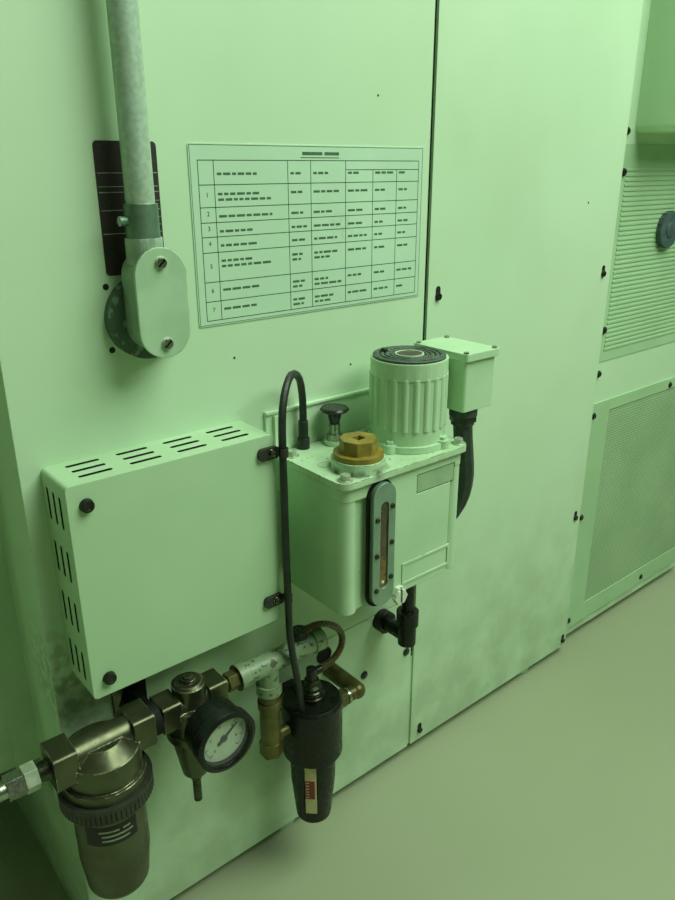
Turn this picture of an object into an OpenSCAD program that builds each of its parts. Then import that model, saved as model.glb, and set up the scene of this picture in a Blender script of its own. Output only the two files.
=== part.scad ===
// Vertical machining centre with its wall-mounted air and oil services.
// The machine's front faces -Y and the service wall faces +X. Heights start at the floor.
// A place on the service wall is given as u (towards the rear), v (out of the wall) and w (up).

/* [Machine] */
// Width over the two side walls
body_w = 1854; // [1800:1:1900]
// Depth from the control box to the cabinet door
body_d = 2400; // [2380:1:2410]
// Height of the side panels and the splash guard
panel_top = 1950; // [1900:1:2000]
// Height of the top of the column
column_top = 2250; // [2230:1:2270]
// Thickness of the side sheets
sheet = 3; // [2:0.5:4]
// Gap under the side panels
floor_gap = 20; // [15:1:25]
// Running clearance of a shaft in its bore
run_gap = 0.05; // [0.02:0.01:0.09]
// Clearance between sliding faces
slide_gap = 0.3; // [0.2:0.05:0.5]

/* [Bed and column] */
// Width of the cast bed
bed_w = 660; // [640:5:680]
// Height of the bed's top
bed_top = 500; // [480:5:520]
// Underside of the bed above the floor
bed_foot = 60; // [50:1:70]
// Half the distance between the ways
way_half = 190; // [180:1:200]
// Width of a bed way
way_w = 70; // [60:1:80]
// Height of a bed way
way_h = 40; // [35:1:45]
// Width of the column
column_w = 560; // [540:5:580]
// Gap between the column and the cabinet
column_gap = 15; // [12:1:40]
// Y of the column's front face
column_y = 150; // [140:5:160]
// Width of a column way
column_way_w = 80; // [70:1:84]
// Width of the screw channel in the column
z_channel_w = 160; // [150:1:170]

/* [Table and saddle] */
// Length of the table
table_l = 820; // [800:5:840]
// Width of the table
table_w = 400; // [390:5:410]
// Thickness of the table
table_t = 90; // [80:1:95]
// Distance between T-slots
slot_pitch = 125; // [110:1:130]
// Width of a T-slot's mouth
slot_w = 18; // [14:1:22]
// Width of a T-slot's foot
slot_foot_w = 30; // [28:1:36]
// Depth of a T-slot
slot_d = 32; // [28:1:36]
// Thickness of the saddle
saddle_t = 120; // [115:1:125]
// Length of the saddle across the machine
saddle_l = 700; // [695:1:705]
// Side of a square servo motor
servo_w = 100; // [90:1:104]
// Length of a servo motor
servo_l = 200; // [180:5:230]
// Radius of the ball screws
screw_r = 16; // [14:0.5:18]

/* [Spindle head] */
// Y of the spindle's axis
spindle_y = -330; // [-340:1:-320]
// Height of the spindle nose at the tool change
nose_z = 1390; // [1385:1:1400]
// Width of the head casting
head_w = 300; // [280:5:320]
// Height of the head casting
head_h = 460; // [440:5:480]
// Radius of the spindle
spindle_r = 45; // [42:0.5:48]
// Radius of the spindle motor
spindle_motor_r = 110; // [100:1:120]
// Length of the spindle motor
spindle_motor_l = 320; // [300:5:330]

/* [Tool magazine] */
// Number of tool pots
pots = 16; // [12:1:18]
// Radius of the circle through the pots
pot_circle = 190; // [185:1:195]
// Radius of a tool pot
pot_r = 26; // [24:0.5:29]
// Distance from the magazine's axis to the spindle's axis
magazine_x = 520; // [515:1:522]

/* [Splash guard and door] */
// Width of the front part of the guard
guard_w = 1564; // [1550:1:1570]
// Thickness of the guard's walls
guard_t = 30; // [25:1:35]
// Y of the guard's front face
guard_y = -960; // [-970:1:-950]
// Underside of the guard
guard_z = 215; // [210:1:220]
// Width of the door opening
door_open_w = 720; // [700:5:730]
// Height of the guard's front above the door opening
door_head = 200; // [190:5:240]
// Height of the door opening's sill
door_sill = 790; // [780:1:810]
// How far the door laps over its opening
door_lap = 20; // [15:1:24]
// Thickness of the door
door_t = 30; // [25:1:32]

/* [Service wall] */
// Place of the wall's front corner
corner_u = 185; // [180:1:190]
// Place of the seam between the side panels
seam_u = 732; // [728:1:736]
// Width of the seam
seam_gap = 7; // [5:0.5:9]
// Place of the rear side panel's rear edge
panel_end_u = 1177; // [1170:1:1180]
// Place of the back of the electrical cabinet
back_u = 1720; // [1715:1:1730]
// Set-back of the cabinet from the wall
cabinet_step = 15; // [10:1:20]
// Width of the front panel's return
return_w = 77; // [70:1:80]
// Height of the underside of that return
return_z = 200; // [195:1:210]

/* [Vent box] */
// Width of the vent box
vent_w = 231.5; // [225:0.5:238]
// Height of the vent box
vent_h = 235; // [225:1:245]
// Depth of the vent box
vent_d = 63; // [58:1:66]
// Thickness of the vent box's sheet
vent_sheet = 2; // [1.5:0.1:2.5]
// Left edge of the vent box
vent_u = 205; // [202:1:206]
// Underside of the vent box
vent_z = 426; // [424:1:430]

/* [Oil unit] */
// Width of the tank's lid
lid_w = 206; // [200:1:210]
// Depth of the tank's lid
lid_d = 131; // [128:1:134]
// Thickness of the tank's lid
lid_t = 8; // [6:0.5:10]
// Left edge of the lid
lid_u = 474; // [470:1:478]
// Distance from the wall to the lid
lid_v = 5; // [4:0.5:7]
// Height of the lid's top
lid_top = 612; // [608:1:616]
// Height of the tank's body
tank_h = 162; // [155:1:168]
// Radius of the pump motor
motor_r = 47; // [45:0.5:47.5]
// Height of the pump motor
motor_h = 110; // [100:1:114]
// Number of ribs round the pump motor
motor_ribs = 22; // [18:1:26]
// Radius of the filler cap
cap_r = 29; // [27:0.5:30]

/* [Air unit] */
// Distance of the air unit's axis from the wall
air_v = 60; // [58:0.5:62]
// Height of the air unit's axis
air_w = 369; // [366:0.5:371]
// Width of the filter over its ports
filter_w = 108; // [104:1:110]
// Radius of the filter's bowl
bowl_r = 38; // [36:0.5:40]
// Radius of the filter's clamp ring
ring_r = 49; // [47:0.5:50]
// Number of notches round the clamp ring
ring_notches = 60; // [40:1:72]
// Width of the regulator over its ports
regulator_w = 80; // [76:1:82]
// Radius of the pressure gauge
gauge_r = 35; // [32:0.5:36]
// Reach of the pressure gauge from the wall
gauge_front = 126; // [122:1:130]
// Radius of the lubricator's body
lubricator_r = 40; // [37:0.5:41]

/* [Conduit] */
// Outer radius of the conduit
conduit_r = 13.35; // [12:0.05:14]
// Place of the conduit along the wall
conduit_u = 322; // [318:1:326]
// Distance of the conduit's axis from the wall
conduit_v = 26; // [24:0.5:28]
// Length of the pipe above the side wall
conduit_over = 100; // [80:5:130]

/* [Hidden] */
$fn = 64;
e = 1;

// The oil window reaches farthest out of the wall; the box over it all is centred on the origin
unit_reach = lid_v + lid_d + 5;
cx = -unit_reach / 2;
wall_x = cx + body_w / 2;
left_x = cx - body_w / 2;
y_back = body_d / 2;
y_front = -body_d / 2;
u_zero = y_back - back_u;
corner_y = u_zero + corner_u;
panel_end_y = u_zero + panel_end_u;

door_open_h = panel_top - door_sill - door_head;
win_w = 420;
win_h = 520;
win_z = door_sill + door_open_h / 2 + 90;
win_rebate = 12;
conduit_top = panel_top + conduit_over;

// Stack of the sliding parts
way_top = bed_top + way_h;
saddle_z = way_top + slide_gap;
saddle_top = saddle_z + saddle_t;
x_way_h = 30;
table_z = saddle_top + x_way_h + slide_gap;
table_top = table_z + table_t;
x_screw_z = table_z - servo_w / 2 - 6;
y_screw_z = bed_top - 45;
x_way_half = 130;
x_way_w = 60;
bed_y0 = -724;
cab_y0 = panel_end_y + 8;
column_d = cab_y0 - column_gap - column_y;
bed_y1 = column_y + column_d + 10;
z_screw_y = column_y + 30;
head_bottom = nose_z + 60;
head_back = column_y - 40 - slide_gap;
head_nut_z = head_bottom + head_h / 2;
nut_l = 110;
journal_r = 11;

// Curved fillets are circles laid at the corners of squares, so that they stay true arcs
module rounded(w, h, r) {
  square([w - 2 * r, h], center = true);
  square([w, h - 2 * r], center = true);
  for (sx = [-1, 1], sy = [-1, 1])
    translate([sx * (w / 2 - r), sy * (h / 2 - r)])
      circle(r);
}

module slot2d(l, r) {
  square([l - 2 * r, 2 * r], center = true);
  for (s = [-1, 1])
    translate([s * (l / 2 - r), 0])
      circle(r);
}

// Local x runs along the wall, y up and z out of it
module on_wall(u, w, v = 0) {
  translate([wall_x + v, u_zero + u, w])
    rotate([90, 0, 90])
      children();
}

// A place beside the wall with its axis upright
module by_wall(u, v, w) {
  translate([wall_x + v, u_zero + u, w])
    children();
}

// A box from its two corners
module block(a, b) {
  translate(a)
    cube(b - a);
}

// The machine's casting, from the bed's section
module machine_bed() {
  hw = bed_w / 2;
  channel_w = 140;
  channel_d = 95;
  pocket_w = 190;
  pocket_d = 40;
  color("gainsboro")
    difference() {
      union() {
        translate([cx, bed_y1, 0])
          rotate([90, 0, 0])
            linear_extrude(bed_y1 - bed_y0)
              polygon([[-hw, bed_foot], [hw, bed_foot], [hw, bed_top - 120], [hw - 60, bed_top],
                [-hw + 60, bed_top], [-hw, bed_top - 120]]);
        for (s = [-1, 1])
          block([cx + s * way_half - way_w / 2, bed_y0 + 20, bed_top - e],
            [cx + s * way_half + way_w / 2, column_y - 20, way_top]);
        for (s = [-1, 1], y = foot_y)
          block([cx + s * (hw + 40) - 45, y - 50, bed_foot], [cx + s * (hw + 40) + 45, y + 50, lug_top]);
      }
      block([cx - channel_w / 2, bed_y0 + 40, bed_top - channel_d],
        [cx + channel_w / 2, column_y - 40, bed_top + e]);
      translate([cx, bed_y0 - e, y_screw_z])
        rotate([-90, 0, 0])
          cylinder(r = journal_r + run_gap, h = 42);
      translate([cx, column_y - 42, y_screw_z])
        rotate([-90, 0, 0])
          cylinder(r = journal_r + run_gap, h = 32);
      for (s = [-1, 1], y = [-540, -280, -20, 240])
        translate([cx + s * hw, y, (bed_foot + bed_top) / 2 - 40])
          rotate([90, 0, 90])
            translate([0, 0, -pocket_d])
              linear_extrude(2 * pocket_d)
                rounded(pocket_w, 180, 30);
      for (s = [-1, 1], y = foot_y)
        translate([cx + s * foot_x, y, bed_foot - e])
          cylinder(r = stud_r + slide_gap, h = lug_top);
    }
}

foot_x = bed_w / 2 + 50;
foot_y = [bed_y0 + 84, -60, bed_y1 - 120];
lug_top = 105;
stud_r = 12;

// Pad, stud and nuts of one foot
module levelling_foot() {
  cylinder(r = 55, h = 18);
  translate([0, 0, 17])
    cylinder(r = 20, h = 14);
  cylinder(r = stud_r, h = lug_top + 50);
  translate([0, 0, bed_foot - 20])
    cylinder(r = 21, h = 20, $fn = 6);
  translate([0, 0, lug_top])
    cylinder(r = 21, h = 20, $fn = 6);
}

module levelling_feet() {
  color("dimgray")
    for (s = [-1, 1], y = foot_y)
      translate([cx + s * foot_x, y, 0])
        levelling_foot();
}

// Pale box beams under the two side walls, tied to the bed
module base_frame() {
  beam = 60;
  x_out = body_w / 2 - sheet;
  top = return_z - 4;
  y0 = corner_y + sheet;
  y1 = cab_y0 - slide_gap;
  color("beige")
    for (s = [-1, 1]) {
      block([cx + min(s * x_out, s * (x_out - beam)), y0, floor_gap],
        [cx + max(s * x_out, s * (x_out - beam)), y1, top]);
      for (y = [y0, y1 - beam])
        block([cx + min(s * x_out, s * bed_w / 2), y, y == y0 ? 0 : 120],
          [cx + max(s * x_out, s * bed_w / 2), y + beam, top]);
      for (y = [y0 + 300, y1 - 120])
        translate([cx + s * (x_out - beam / 2), y, 0])
          cylinder(r = 24, h = floor_gap + e);
    }
}

rail_z0 = 1330;
rail_z1 = 1400;
rail_x0 = -745;
rail_x1 = -285;

// Column with its two box ways, screw channel and the magazine's rail
module column() {
  y1 = column_y + column_d;
  hw = column_w / 2;
  channel_y = z_screw_y + 60;
  way_z = bed_top + 260;
  color("gainsboro")
    difference() {
      union() {
        block([cx - hw, column_y, bed_top], [cx + hw, y1, column_top]);
        for (s = [-1, 1])
          block([cx + s * way_half - column_way_w / 2, column_y - 40, way_z],
            [cx + s * way_half + column_way_w / 2, column_y + e, column_top]);
        block([cx + rail_x0, column_y, rail_z0 - 40], [cx - hw + e, column_y + 40, rail_z1 + 40]);
        block([cx + rail_x0, column_y - 40, rail_z0], [cx + rail_x1, column_y + e, rail_z1]);
      }
      block([cx - z_channel_w / 2, column_y - e, way_z + 60],
        [cx + z_channel_w / 2, channel_y, column_top - 30]);
      translate([cx, z_screw_y, way_z + 20])
        cylinder(r = journal_r + run_gap, h = 60);
      translate([cx, z_screw_y, column_top - 40])
        cylinder(r = journal_r + run_gap, h = 60);
      for (s = [-1, 1], z = [760, 1120, 1760])
        translate([cx + s * hw, column_y + column_d / 2 + 20, z])
          rotate([90, 0, 90])
            translate([0, 0, -30])
              linear_extrude(60)
                rounded(300, 240, 40);
    }
}

// Square motor with its flange, body and connector, face down at the origin
module servo() {
  cylinder(r = 18, h = 12);
  translate([0, 0, 0])
    linear_extrude(14)
      difference() {
        rounded(servo_w, servo_w, 10);
        for (sx = [-1, 1], sy = [-1, 1])
          translate([sx, sy] * (servo_w / 2 - 10))
            circle(4.5);
      }
  translate([0, 0, 13])
    linear_extrude(servo_l - 63)
      rounded(servo_w - 12, servo_w - 12, 14);
  translate([0, 0, servo_l - 51])
    cylinder(r = servo_w / 2 - 9, h = 51);
  translate([servo_w / 2 - 16, 0, servo_l - 90])
    rotate([0, 90, 0])
      cylinder(r = 16, h = 30);
}

module axis_motors() {
  color("dimgray") {
    translate([cx, bed_y0, y_screw_z])
      rotate([90, 0, 0])
        servo();
    translate([cx, z_screw_y, column_top])
      servo();
  }
}

// Low tank for the cutting fluid, with its covered front strip and the pump on it
module coolant_tank() {
  hw = 500;
  y0 = guard_y - 80;
  y1 = bed_y0 - 60;
  top = guard_z - 15;
  pump_x = cx - 350;
  pump_y = y0 + 40;
  color("slategray")
    difference() {
      union() {
        block([cx - hw, y0, 30], [cx + hw, y1 - 20, top]);
        for (sx = [-1, 1], y = [y0 + 60, y1 - 80])
          translate([cx + sx * (hw - 60), y, 0])
            cylinder(r = 25, h = 31);
        block([cx - hw - 20, y0 - 10, top - 20], [cx + hw + 20, y1, top]);
        translate([pump_x, pump_y, top - e])
          cylinder(r = 36, h = 150);
        translate([pump_x, pump_y, top + 148])
          cylinder(r = 33, h = 16);
        translate([pump_x, pump_y, top + 100])
          rotate([-90, 0, 0])
            cylinder(r = 12, h = guard_y - pump_y - slide_gap);
      }
      block([cx - hw + 6, y0 + 6, 36], [cx + hw - 6, y1 - 26, top - 6]);
      block([cx - hw + 6, guard_y + 10, top - 7], [cx + hw - 6, y1 - 26, top + e]);
    }
}

// Front part with the door opening, its roof rail and the left side of the machine
module splash_guard() {
  hw = guard_w / 2;
  open_x0 = -door_open_w + 20;
  back = corner_y - 4;
  color("ivory")
    difference() {
      union() {
        block([cx - hw, guard_y, guard_z], [cx + hw, back, panel_top]);
        // lower rail and upper rail that guide the door
        block([cx - hw, guard_y - 16, door_sill - 60], [cx + hw, guard_y + e, door_sill - 40]);
        block([cx - hw, guard_y - 44, door_sill + door_open_h + 41],
          [cx + hw, guard_y + e, door_sill + door_open_h + 61]);
        // post that the pendant turns on
        block([cx + hw - 90, guard_y - 70, panel_top - 60], [cx + hw - 10, guard_y + e, post_top]);
      }
      block([cx - hw + guard_t, guard_y + guard_t, guard_z + guard_t],
        [cx + hw - guard_t, back + e, panel_top + e]);
      block([cx - hw + guard_t, guard_y + guard_t + 30, guard_z - e],
        [cx + hw - guard_t, back + e, guard_z + guard_t + e]);
      block([cx + open_x0, guard_y - e, door_sill],
        [cx + 20, guard_y + guard_t + e, door_sill + door_open_h]);
      translate([pendant_x, pendant_y, panel_top - 80])
        cylinder(r = pendant_pin_r + run_gap, h = 120);
    }
  // left side wall, seated on the base frame, and the strips beside the guard
  color("ivory") {
    block([left_x, corner_y, floor_gap], [left_x + sheet, panel_end_y - seam_gap, panel_top]);
    block([left_x + sheet, corner_y, return_z], [cx - hw, corner_y + sheet, panel_top]);
    block([cx - hw - e, corner_y - 4 - 20, guard_z], [cx - hw + 4, corner_y + sheet, panel_top]);
    block([cx + hw - 4, corner_y - 4 - 20, guard_z], [cx + hw + 4, corner_y + sheet, panel_top]);
    block([cx + hw, corner_y + 8, return_z], [wall_x - return_w, corner_y + 8 + sheet, panel_top]);
    block([cx + hw - 4, corner_y, guard_z], [cx + hw + 4, corner_y + 8 + sheet, panel_top]);
  }
}

post_top = panel_top + 10;

pendant_x = cx + guard_w / 2 - 50;
pendant_y = guard_y - 40;
pendant_pin_r = 14;
panel_box_w = 420;
panel_box_h = 620;
panel_box_z = 1080;
panel_box_back = guard_y - 78;
panel_box_x = pendant_x - 190;

// Arm from the pivot post to the control box
module pendant_arm() {
  arm_z = post_top + slide_gap;
  color("dimgray") {
    translate([pendant_x, pendant_y, panel_top - 78])
      cylinder(r = pendant_pin_r, h = 100);
    block([panel_box_x - 40, pendant_y - 110, arm_z], [pendant_x + 40, pendant_y + 40, arm_z + 50]);
    translate([panel_box_x, pendant_y - 70, panel_box_z + panel_box_h])
      cylinder(r = 30, h = arm_z - panel_box_z - panel_box_h + 10);
  }
}

// Control box with a raised bezel, a screen recess, key rows and a shelf
module control_panel() {
  face_y = y_front + 14;
  cz = panel_box_z + panel_box_h / 2;
  color("lightgray")
    difference() {
      union() {
        translate([panel_box_x, panel_box_back, cz])
          rotate([90, 0, 0])
            linear_extrude(panel_box_back - face_y)
              rounded(panel_box_w, panel_box_h, 18);
        translate([panel_box_x, face_y + e, cz])
          rotate([90, 0, 0])
            linear_extrude(7)
              rounded(panel_box_w - 30, panel_box_h - 30, 12);
        for (i = [0:6], j = [0:3])
          translate([panel_box_x - 160 + 32 * i, face_y, cz - 90 - 30 * j])
            rotate([90, 0, 0])
              linear_extrude(9)
                square([24, 22], center = true);
      }
      translate([panel_box_x - 45, face_y + 2, cz + 130])
        rotate([90, 0, 0])
          linear_extrude(20)
            rounded(280, 220, 10);
      translate([panel_box_x + estop_dx, face_y + 40, cz + estop_dz])
        rotate([90, 0, 0])
          cylinder(r = estop_stem + run_gap, h = 60);
      translate([panel_box_x + wheel_dx, face_y + 40, cz + wheel_dz])
        rotate([90, 0, 0])
          cylinder(r = wheel_stem + run_gap, h = 60);
    }
}

estop_dx = 145;
estop_dz = 190;
estop_stem = 8;
wheel_dx = 130;
wheel_dz = -130;
wheel_stem = 6;
face_plane = y_front + 14 - 6;

// Mushroom button, sprung, on its stem
module emergency_stop() {
  color("red")
    translate([panel_box_x + estop_dx, face_plane, panel_box_z + panel_box_h / 2 + estop_dz])
      rotate([90, 0, 0]) {
        translate([0, 0, -24])
          cylinder(r = estop_stem, h = 27);
        translate([0, 0, 2.7])
          rotate_extrude()
            polygon([[0, 0], [17, 0], [19, 1.5], [18, 4], [12, 5.2], [0, 5.3]]);
      }
}

// Hand pulse wheel with its finger knob
module handwheel() {
  color("black")
    translate([panel_box_x + wheel_dx, face_plane, panel_box_z + panel_box_h / 2 + wheel_dz])
      rotate([90, 0, 0]) {
        translate([0, 0, -24])
          cylinder(r = wheel_stem, h = 26);
        translate([0, 0, 1])
          cylinder(r = 32, h = 4);
        translate([21, 0, 4.5])
          cylinder(r = 5, h = 3.5);
      }
}

// Sliding door with a window opening and a pull handle
module guard_door() {
  w = door_open_w + 2 * door_lap;
  h = door_open_h + 2 * door_lap;
  x0 = cx + 20 - door_open_w - door_lap;
  y0 = guard_y - 2 - door_t;
  color("ivory")
    difference() {
      union() {
        block([x0, y0, door_sill - door_lap - 19.7], [x0 + w, guard_y - 2, door_sill - door_lap + h + 20.7]);
        translate([x0 + 45, y0 - 34, door_sill + 260])
          cylinder(r = 11, h = 320);
        for (z = [290, 550])
          translate([x0 + 45, y0 + e, door_sill + z])
            rotate([90, 0, 0])
              cylinder(r = 9, h = 36);
      }
      translate([x0 + w / 2, guard_y, win_z])
        rotate([90, 0, 0])
          linear_extrude(60)
            rounded(win_w, win_h, 40);
      translate([x0 + w / 2, guard_y - 12, win_z])
        rotate([90, 0, 0])
          linear_extrude(7)
            rounded(win_w + 2 * win_rebate, win_h + 2 * win_rebate, 40 + win_rebate);
    }
}

// Pane held in the door's rebate
module door_window() {
  w = door_open_w + 2 * door_lap;
  x0 = cx + 20 - door_open_w - door_lap;
  color("lightblue", 0.4)
    translate([x0 + w / 2, guard_y - 12.5, win_z])
      rotate([90, 0, 0])
        linear_extrude(6)
          rounded(win_w + 2 * win_rebate - 1, win_h + 2 * win_rebate - 1, 39.5 + win_rebate);
}

// Saddle on the bed's ways, with the cross ways and the nut of the Y screw below
module saddle() {
  hl = saddle_l / 2;
  hw = table_w / 2;
  channel_half = 50;
  channel_z = x_screw_z - 45;
  gib_w = 28;
  color("gainsboro")
    difference() {
      union() {
        block([cx - hl, spindle_y - hw, saddle_z], [cx + hl, spindle_y + hw, saddle_top]);
        for (s = [-1, 1])
          block([cx - hl, spindle_y + s * x_way_half - x_way_w / 2, saddle_top - e],
            [cx + hl, spindle_y + s * x_way_half + x_way_w / 2, saddle_top + x_way_h]);
        for (s = [-1, 1])
          translate([cx + s * (way_half + way_w / 2 + slide_gap + gib_w / 2), spindle_y, 0])
            block([-gib_w / 2, -hw, bed_top + slide_gap], [gib_w / 2, hw, saddle_z + e]);
        block([cx - 45, spindle_y - nut_l / 2, y_screw_z - 35],
          [cx + 45, spindle_y + nut_l / 2, saddle_z + e]);
      }
      block([cx - hl + 30, spindle_y - channel_half, channel_z],
        [cx + hl - 30, spindle_y + channel_half, saddle_top + e]);
      for (x = [cx - hl - e, cx + hl - 31])
        translate([x, spindle_y, x_screw_z])
          rotate([0, 90, 0])
            cylinder(r = journal_r + run_gap, h = 32);
      translate([cx, spindle_y - nut_l, y_screw_z])
        rotate([-90, 0, 0])
          cylinder(r = screw_r + run_gap, h = 2 * nut_l);
    }
}

module x_axis_motor() {
  color("dimgray")
    translate([cx - saddle_l / 2, spindle_y, x_screw_z])
      rotate([0, -90, 0])
        rotate(90)
          servo();
}

// Table with its T-slots and the nut of the X screw below
module table() {
  hl = table_l / 2;
  hw = table_w / 2;
  foot_h = 14;
  key_y = x_way_half - x_way_w / 2 - slide_gap - 14;
  color("silver")
    difference() {
      union() {
        block([cx - hl, spindle_y - hw, table_z], [cx + hl, spindle_y + hw, table_top]);
        block([cx - nut_l / 2, spindle_y - 35, x_screw_z - 32],
          [cx + nut_l / 2, spindle_y + 35, table_z + e]);
        for (s = [-1, 1])
          block([cx - 300, spindle_y + s * key_y - 14, saddle_top + slide_gap],
            [cx + 300, spindle_y + s * key_y + 14, table_z + e]);
      }
      for (i = [-1:1]) {
        block([cx - hl - e, spindle_y + i * slot_pitch - slot_w / 2, table_top - slot_d],
          [cx + hl + e, spindle_y + i * slot_pitch + slot_w / 2, table_top + e]);
        block([cx - hl - e, spindle_y + i * slot_pitch - slot_foot_w / 2, table_top - slot_d],
          [cx + hl + e, spindle_y + i * slot_pitch + slot_foot_w / 2, table_top - slot_d + foot_h]);
      }
      translate([cx - nut_l, spindle_y, x_screw_z])
        rotate([0, 90, 0])
          cylinder(r = screw_r + run_gap, h = 2 * nut_l);
    }
}

// A screw from its shaft and two journals, along z from the origin
module ball_screw(l, first, last) {
  cylinder(r = journal_r, h = l);
  translate([0, 0, first])
    cylinder(r = screw_r, h = l - first - last);
}

module x_ball_screw() {
  color("silver")
    translate([cx - saddle_l / 2 + slide_gap, spindle_y, x_screw_z])
      rotate([0, 90, 0])
        ball_screw(saddle_l - 2 * slide_gap, 31, 31);
}

module y_ball_screw() {
  color("silver")
    translate([cx, bed_y0 + slide_gap, y_screw_z])
      rotate([-90, 0, 0])
        ball_screw(column_y - 15 - bed_y0, 41, 31);
}

module z_ball_screw() {
  color("silver")
    translate([cx, z_screw_y, bed_top + 290])
      ball_screw(column_top - bed_top - 290 - slide_gap, 32, 32);
}

// Head casting: the guide plate, the nut block and the arm that carries the spindle
module spindle_head() {
  top = head_bottom + head_h;
  plate_half = 260;
  gib = 28;
  arm_front = spindle_y - head_w / 2;
  color("ivory")
    difference() {
      union() {
        block([cx - plate_half, head_back - 55, head_bottom], [cx + plate_half, head_back, top]);
        for (s = [-1, 1])
          translate([cx + s * (way_half + column_way_w / 2 + slide_gap + gib / 2), 0, 0])
            block([-gib / 2, head_back - e, head_bottom], [gib / 2, column_y - slide_gap, top]);
        block([cx - 55, head_back - e, head_nut_z - nut_l / 2],
          [cx + 55, z_screw_y + 35, head_nut_z + nut_l / 2]);
        translate([cx + head_w / 2, 0, 0])
          rotate([90, 0, -90])
            linear_extrude(head_w)
              polygon([[-head_back + 20, head_bottom], [-spindle_y, head_bottom],
                [-spindle_y, top], [-head_back + 20, top]]);
        translate([cx, spindle_y, head_bottom])
          cylinder(r = head_w / 2, h = head_h);
        translate([cx, spindle_y, nose_z + 8])
          cylinder(r = 90, h = head_bottom - nose_z);
      }
      translate([cx, spindle_y, nose_z - e])
        cylinder(r = spindle_r + run_gap, h = head_h + 80);
      translate([cx, z_screw_y, head_nut_z - nut_l])
        cylinder(r = screw_r + run_gap, h = 2 * nut_l);
      for (s = [-1, 1])
        translate([cx + s * head_w / 2, (spindle_y + head_back) / 2 + 40, head_bottom + head_h / 2])
          rotate([90, 0, 90])
            translate([0, 0, -12])
              linear_extrude(24)
                rounded(260, 300, 30);
    }
}

module spindle_motor() {
  z = head_bottom + head_h;
  color("dimgray")
    translate([cx, spindle_y, z]) {
      linear_extrude(20)
        difference() {
          rounded(2 * spindle_motor_r + 20, 2 * spindle_motor_r + 20, 24);
          circle(spindle_r + 5);
        }
      translate([0, 0, 19])
        cylinder(r = spindle_motor_r - 4, h = spindle_motor_l - 60);
      for (i = [0:3])
        translate([0, 0, 40 + 62 * i])
          cylinder(r = spindle_motor_r, h = 6);
      translate([0, 0, spindle_motor_l - 42])
        cylinder(r = spindle_motor_r - 14, h = 42);
    }
}

taper_r = 22.25;

// Spindle with its taper, drive keys and the shaft up to the motor
module spindle() {
  color("silver")
    difference() {
      union() {
        translate([cx, spindle_y, nose_z])
          cylinder(r = spindle_r, h = head_h + 60 + 18);
        for (s = [-1, 1])
          block([cx + s * 34 - 8, spindle_y - 8, nose_z - 9], [cx + s * 34 + 8, spindle_y + 8, nose_z + e]);
      }
      translate([cx, spindle_y, nose_z - e])
        cylinder(r = taper_r, h = 10 + e);
      translate([cx, spindle_y, nose_z + 9.9])
        cylinder(r1 = taper_r, r2 = 12.6, h = 60);
      translate([cx, spindle_y, nose_z])
        cylinder(r = 8.5, h = 180);
    }
}

// Carriage on the rail, and the cranked arm out to the magazine's axis
module magazine_carriage() {
  x0 = -740;
  x1 = -620;
  front = column_y - 40 - slide_gap;
  arm_z = 1345;
  arm_t = 40;
  color("gray")
    union() {
      block([cx + x0, front - 50, rail_z0 - 16], [cx + x1, front, rail_z1 + 16]);
      block([cx + x0, front - e, rail_z1 + slide_gap], [cx + x1, column_y - slide_gap, rail_z1 + 16]);
      block([cx + x0, front - e, rail_z0 - 16], [cx + x1, column_y - slide_gap, rail_z0 - slide_gap]);
      translate([0, 0, arm_z])
        linear_extrude(arm_t)
          polygon([[cx + x0 + 20, front - 40], [cx + x1, front - 40], [cx - magazine_x + 55, spindle_y],
            [cx - magazine_x - 55, spindle_y]]);
      translate([cx - magazine_x, spindle_y, arm_z])
        cylinder(r = 60, h = arm_t);
      translate([cx - magazine_x, spindle_y, magazine_z - 22])
        cylinder(r = 18, h = arm_z - magazine_z + 23);
      translate([cx - magazine_x, spindle_y, magazine_z - 29.3])
        cylinder(r = 30, h = 9);
    }
}

magazine_z = 1215;

// Carousel: the disc, its hub and a pot with its tool's taper at each place
module tool_magazine() {
  disc_r = pot_circle + pot_r + 4;
  color("goldenrod")
    translate([cx - magazine_x, spindle_y, magazine_z])
      difference() {
        union() {
          cylinder(r = disc_r, h = 14);
          translate([0, 0, -20])
            cylinder(r = 60, h = 140);
          for (i = [0:pots - 1])
            rotate(i * 360 / pots)
              translate([pot_circle, 0, -50]) {
                cylinder(r = pot_r, h = 64, $fn = 32);
                translate([0, 0, 63])
                  cylinder(r1 = 22, r2 = 13, h = 50, $fn = 32);
              }
        }
        translate([0, 0, -30])
          cylinder(r = 18 + run_gap, h = 160);
        for (i = [0:pots - 1])
          rotate((i + 0.5) * 360 / pots)
            translate([disc_r + 8, 0, -1])
              cylinder(r = 22, h = 20, $fn = 32);
      }
}

// Front sheet of the service wall, folded at its corner, seam and top, with the seam across it
module front_side_panel() {
  w = seam_u - seam_gap / 2 - corner_u;
  seam_w = 308;
  seam_h = 2.5;
  lip = 24;
  color("ivory")
    difference() {
      union() {
        on_wall(corner_u, floor_gap, -sheet)
          linear_extrude(sheet)
            square([w, panel_top - floor_gap]);
        block([wall_x - return_w, corner_y, return_z], [wall_x - sheet + e, corner_y + sheet, panel_top]);
        on_wall(corner_u, panel_top - sheet, -lip)
          linear_extrude(lip - sheet + e)
            square([w, sheet]);
        on_wall(corner_u + w - sheet, return_z, -lip)
          linear_extrude(lip - sheet + e)
            square([sheet, panel_top - return_z]);
      }
      on_wall(corner_u + 90, seam_w, -sheet / 2)
        linear_extrude(sheet)
          square([w - 90 + e, seam_h]);
    }
}

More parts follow.
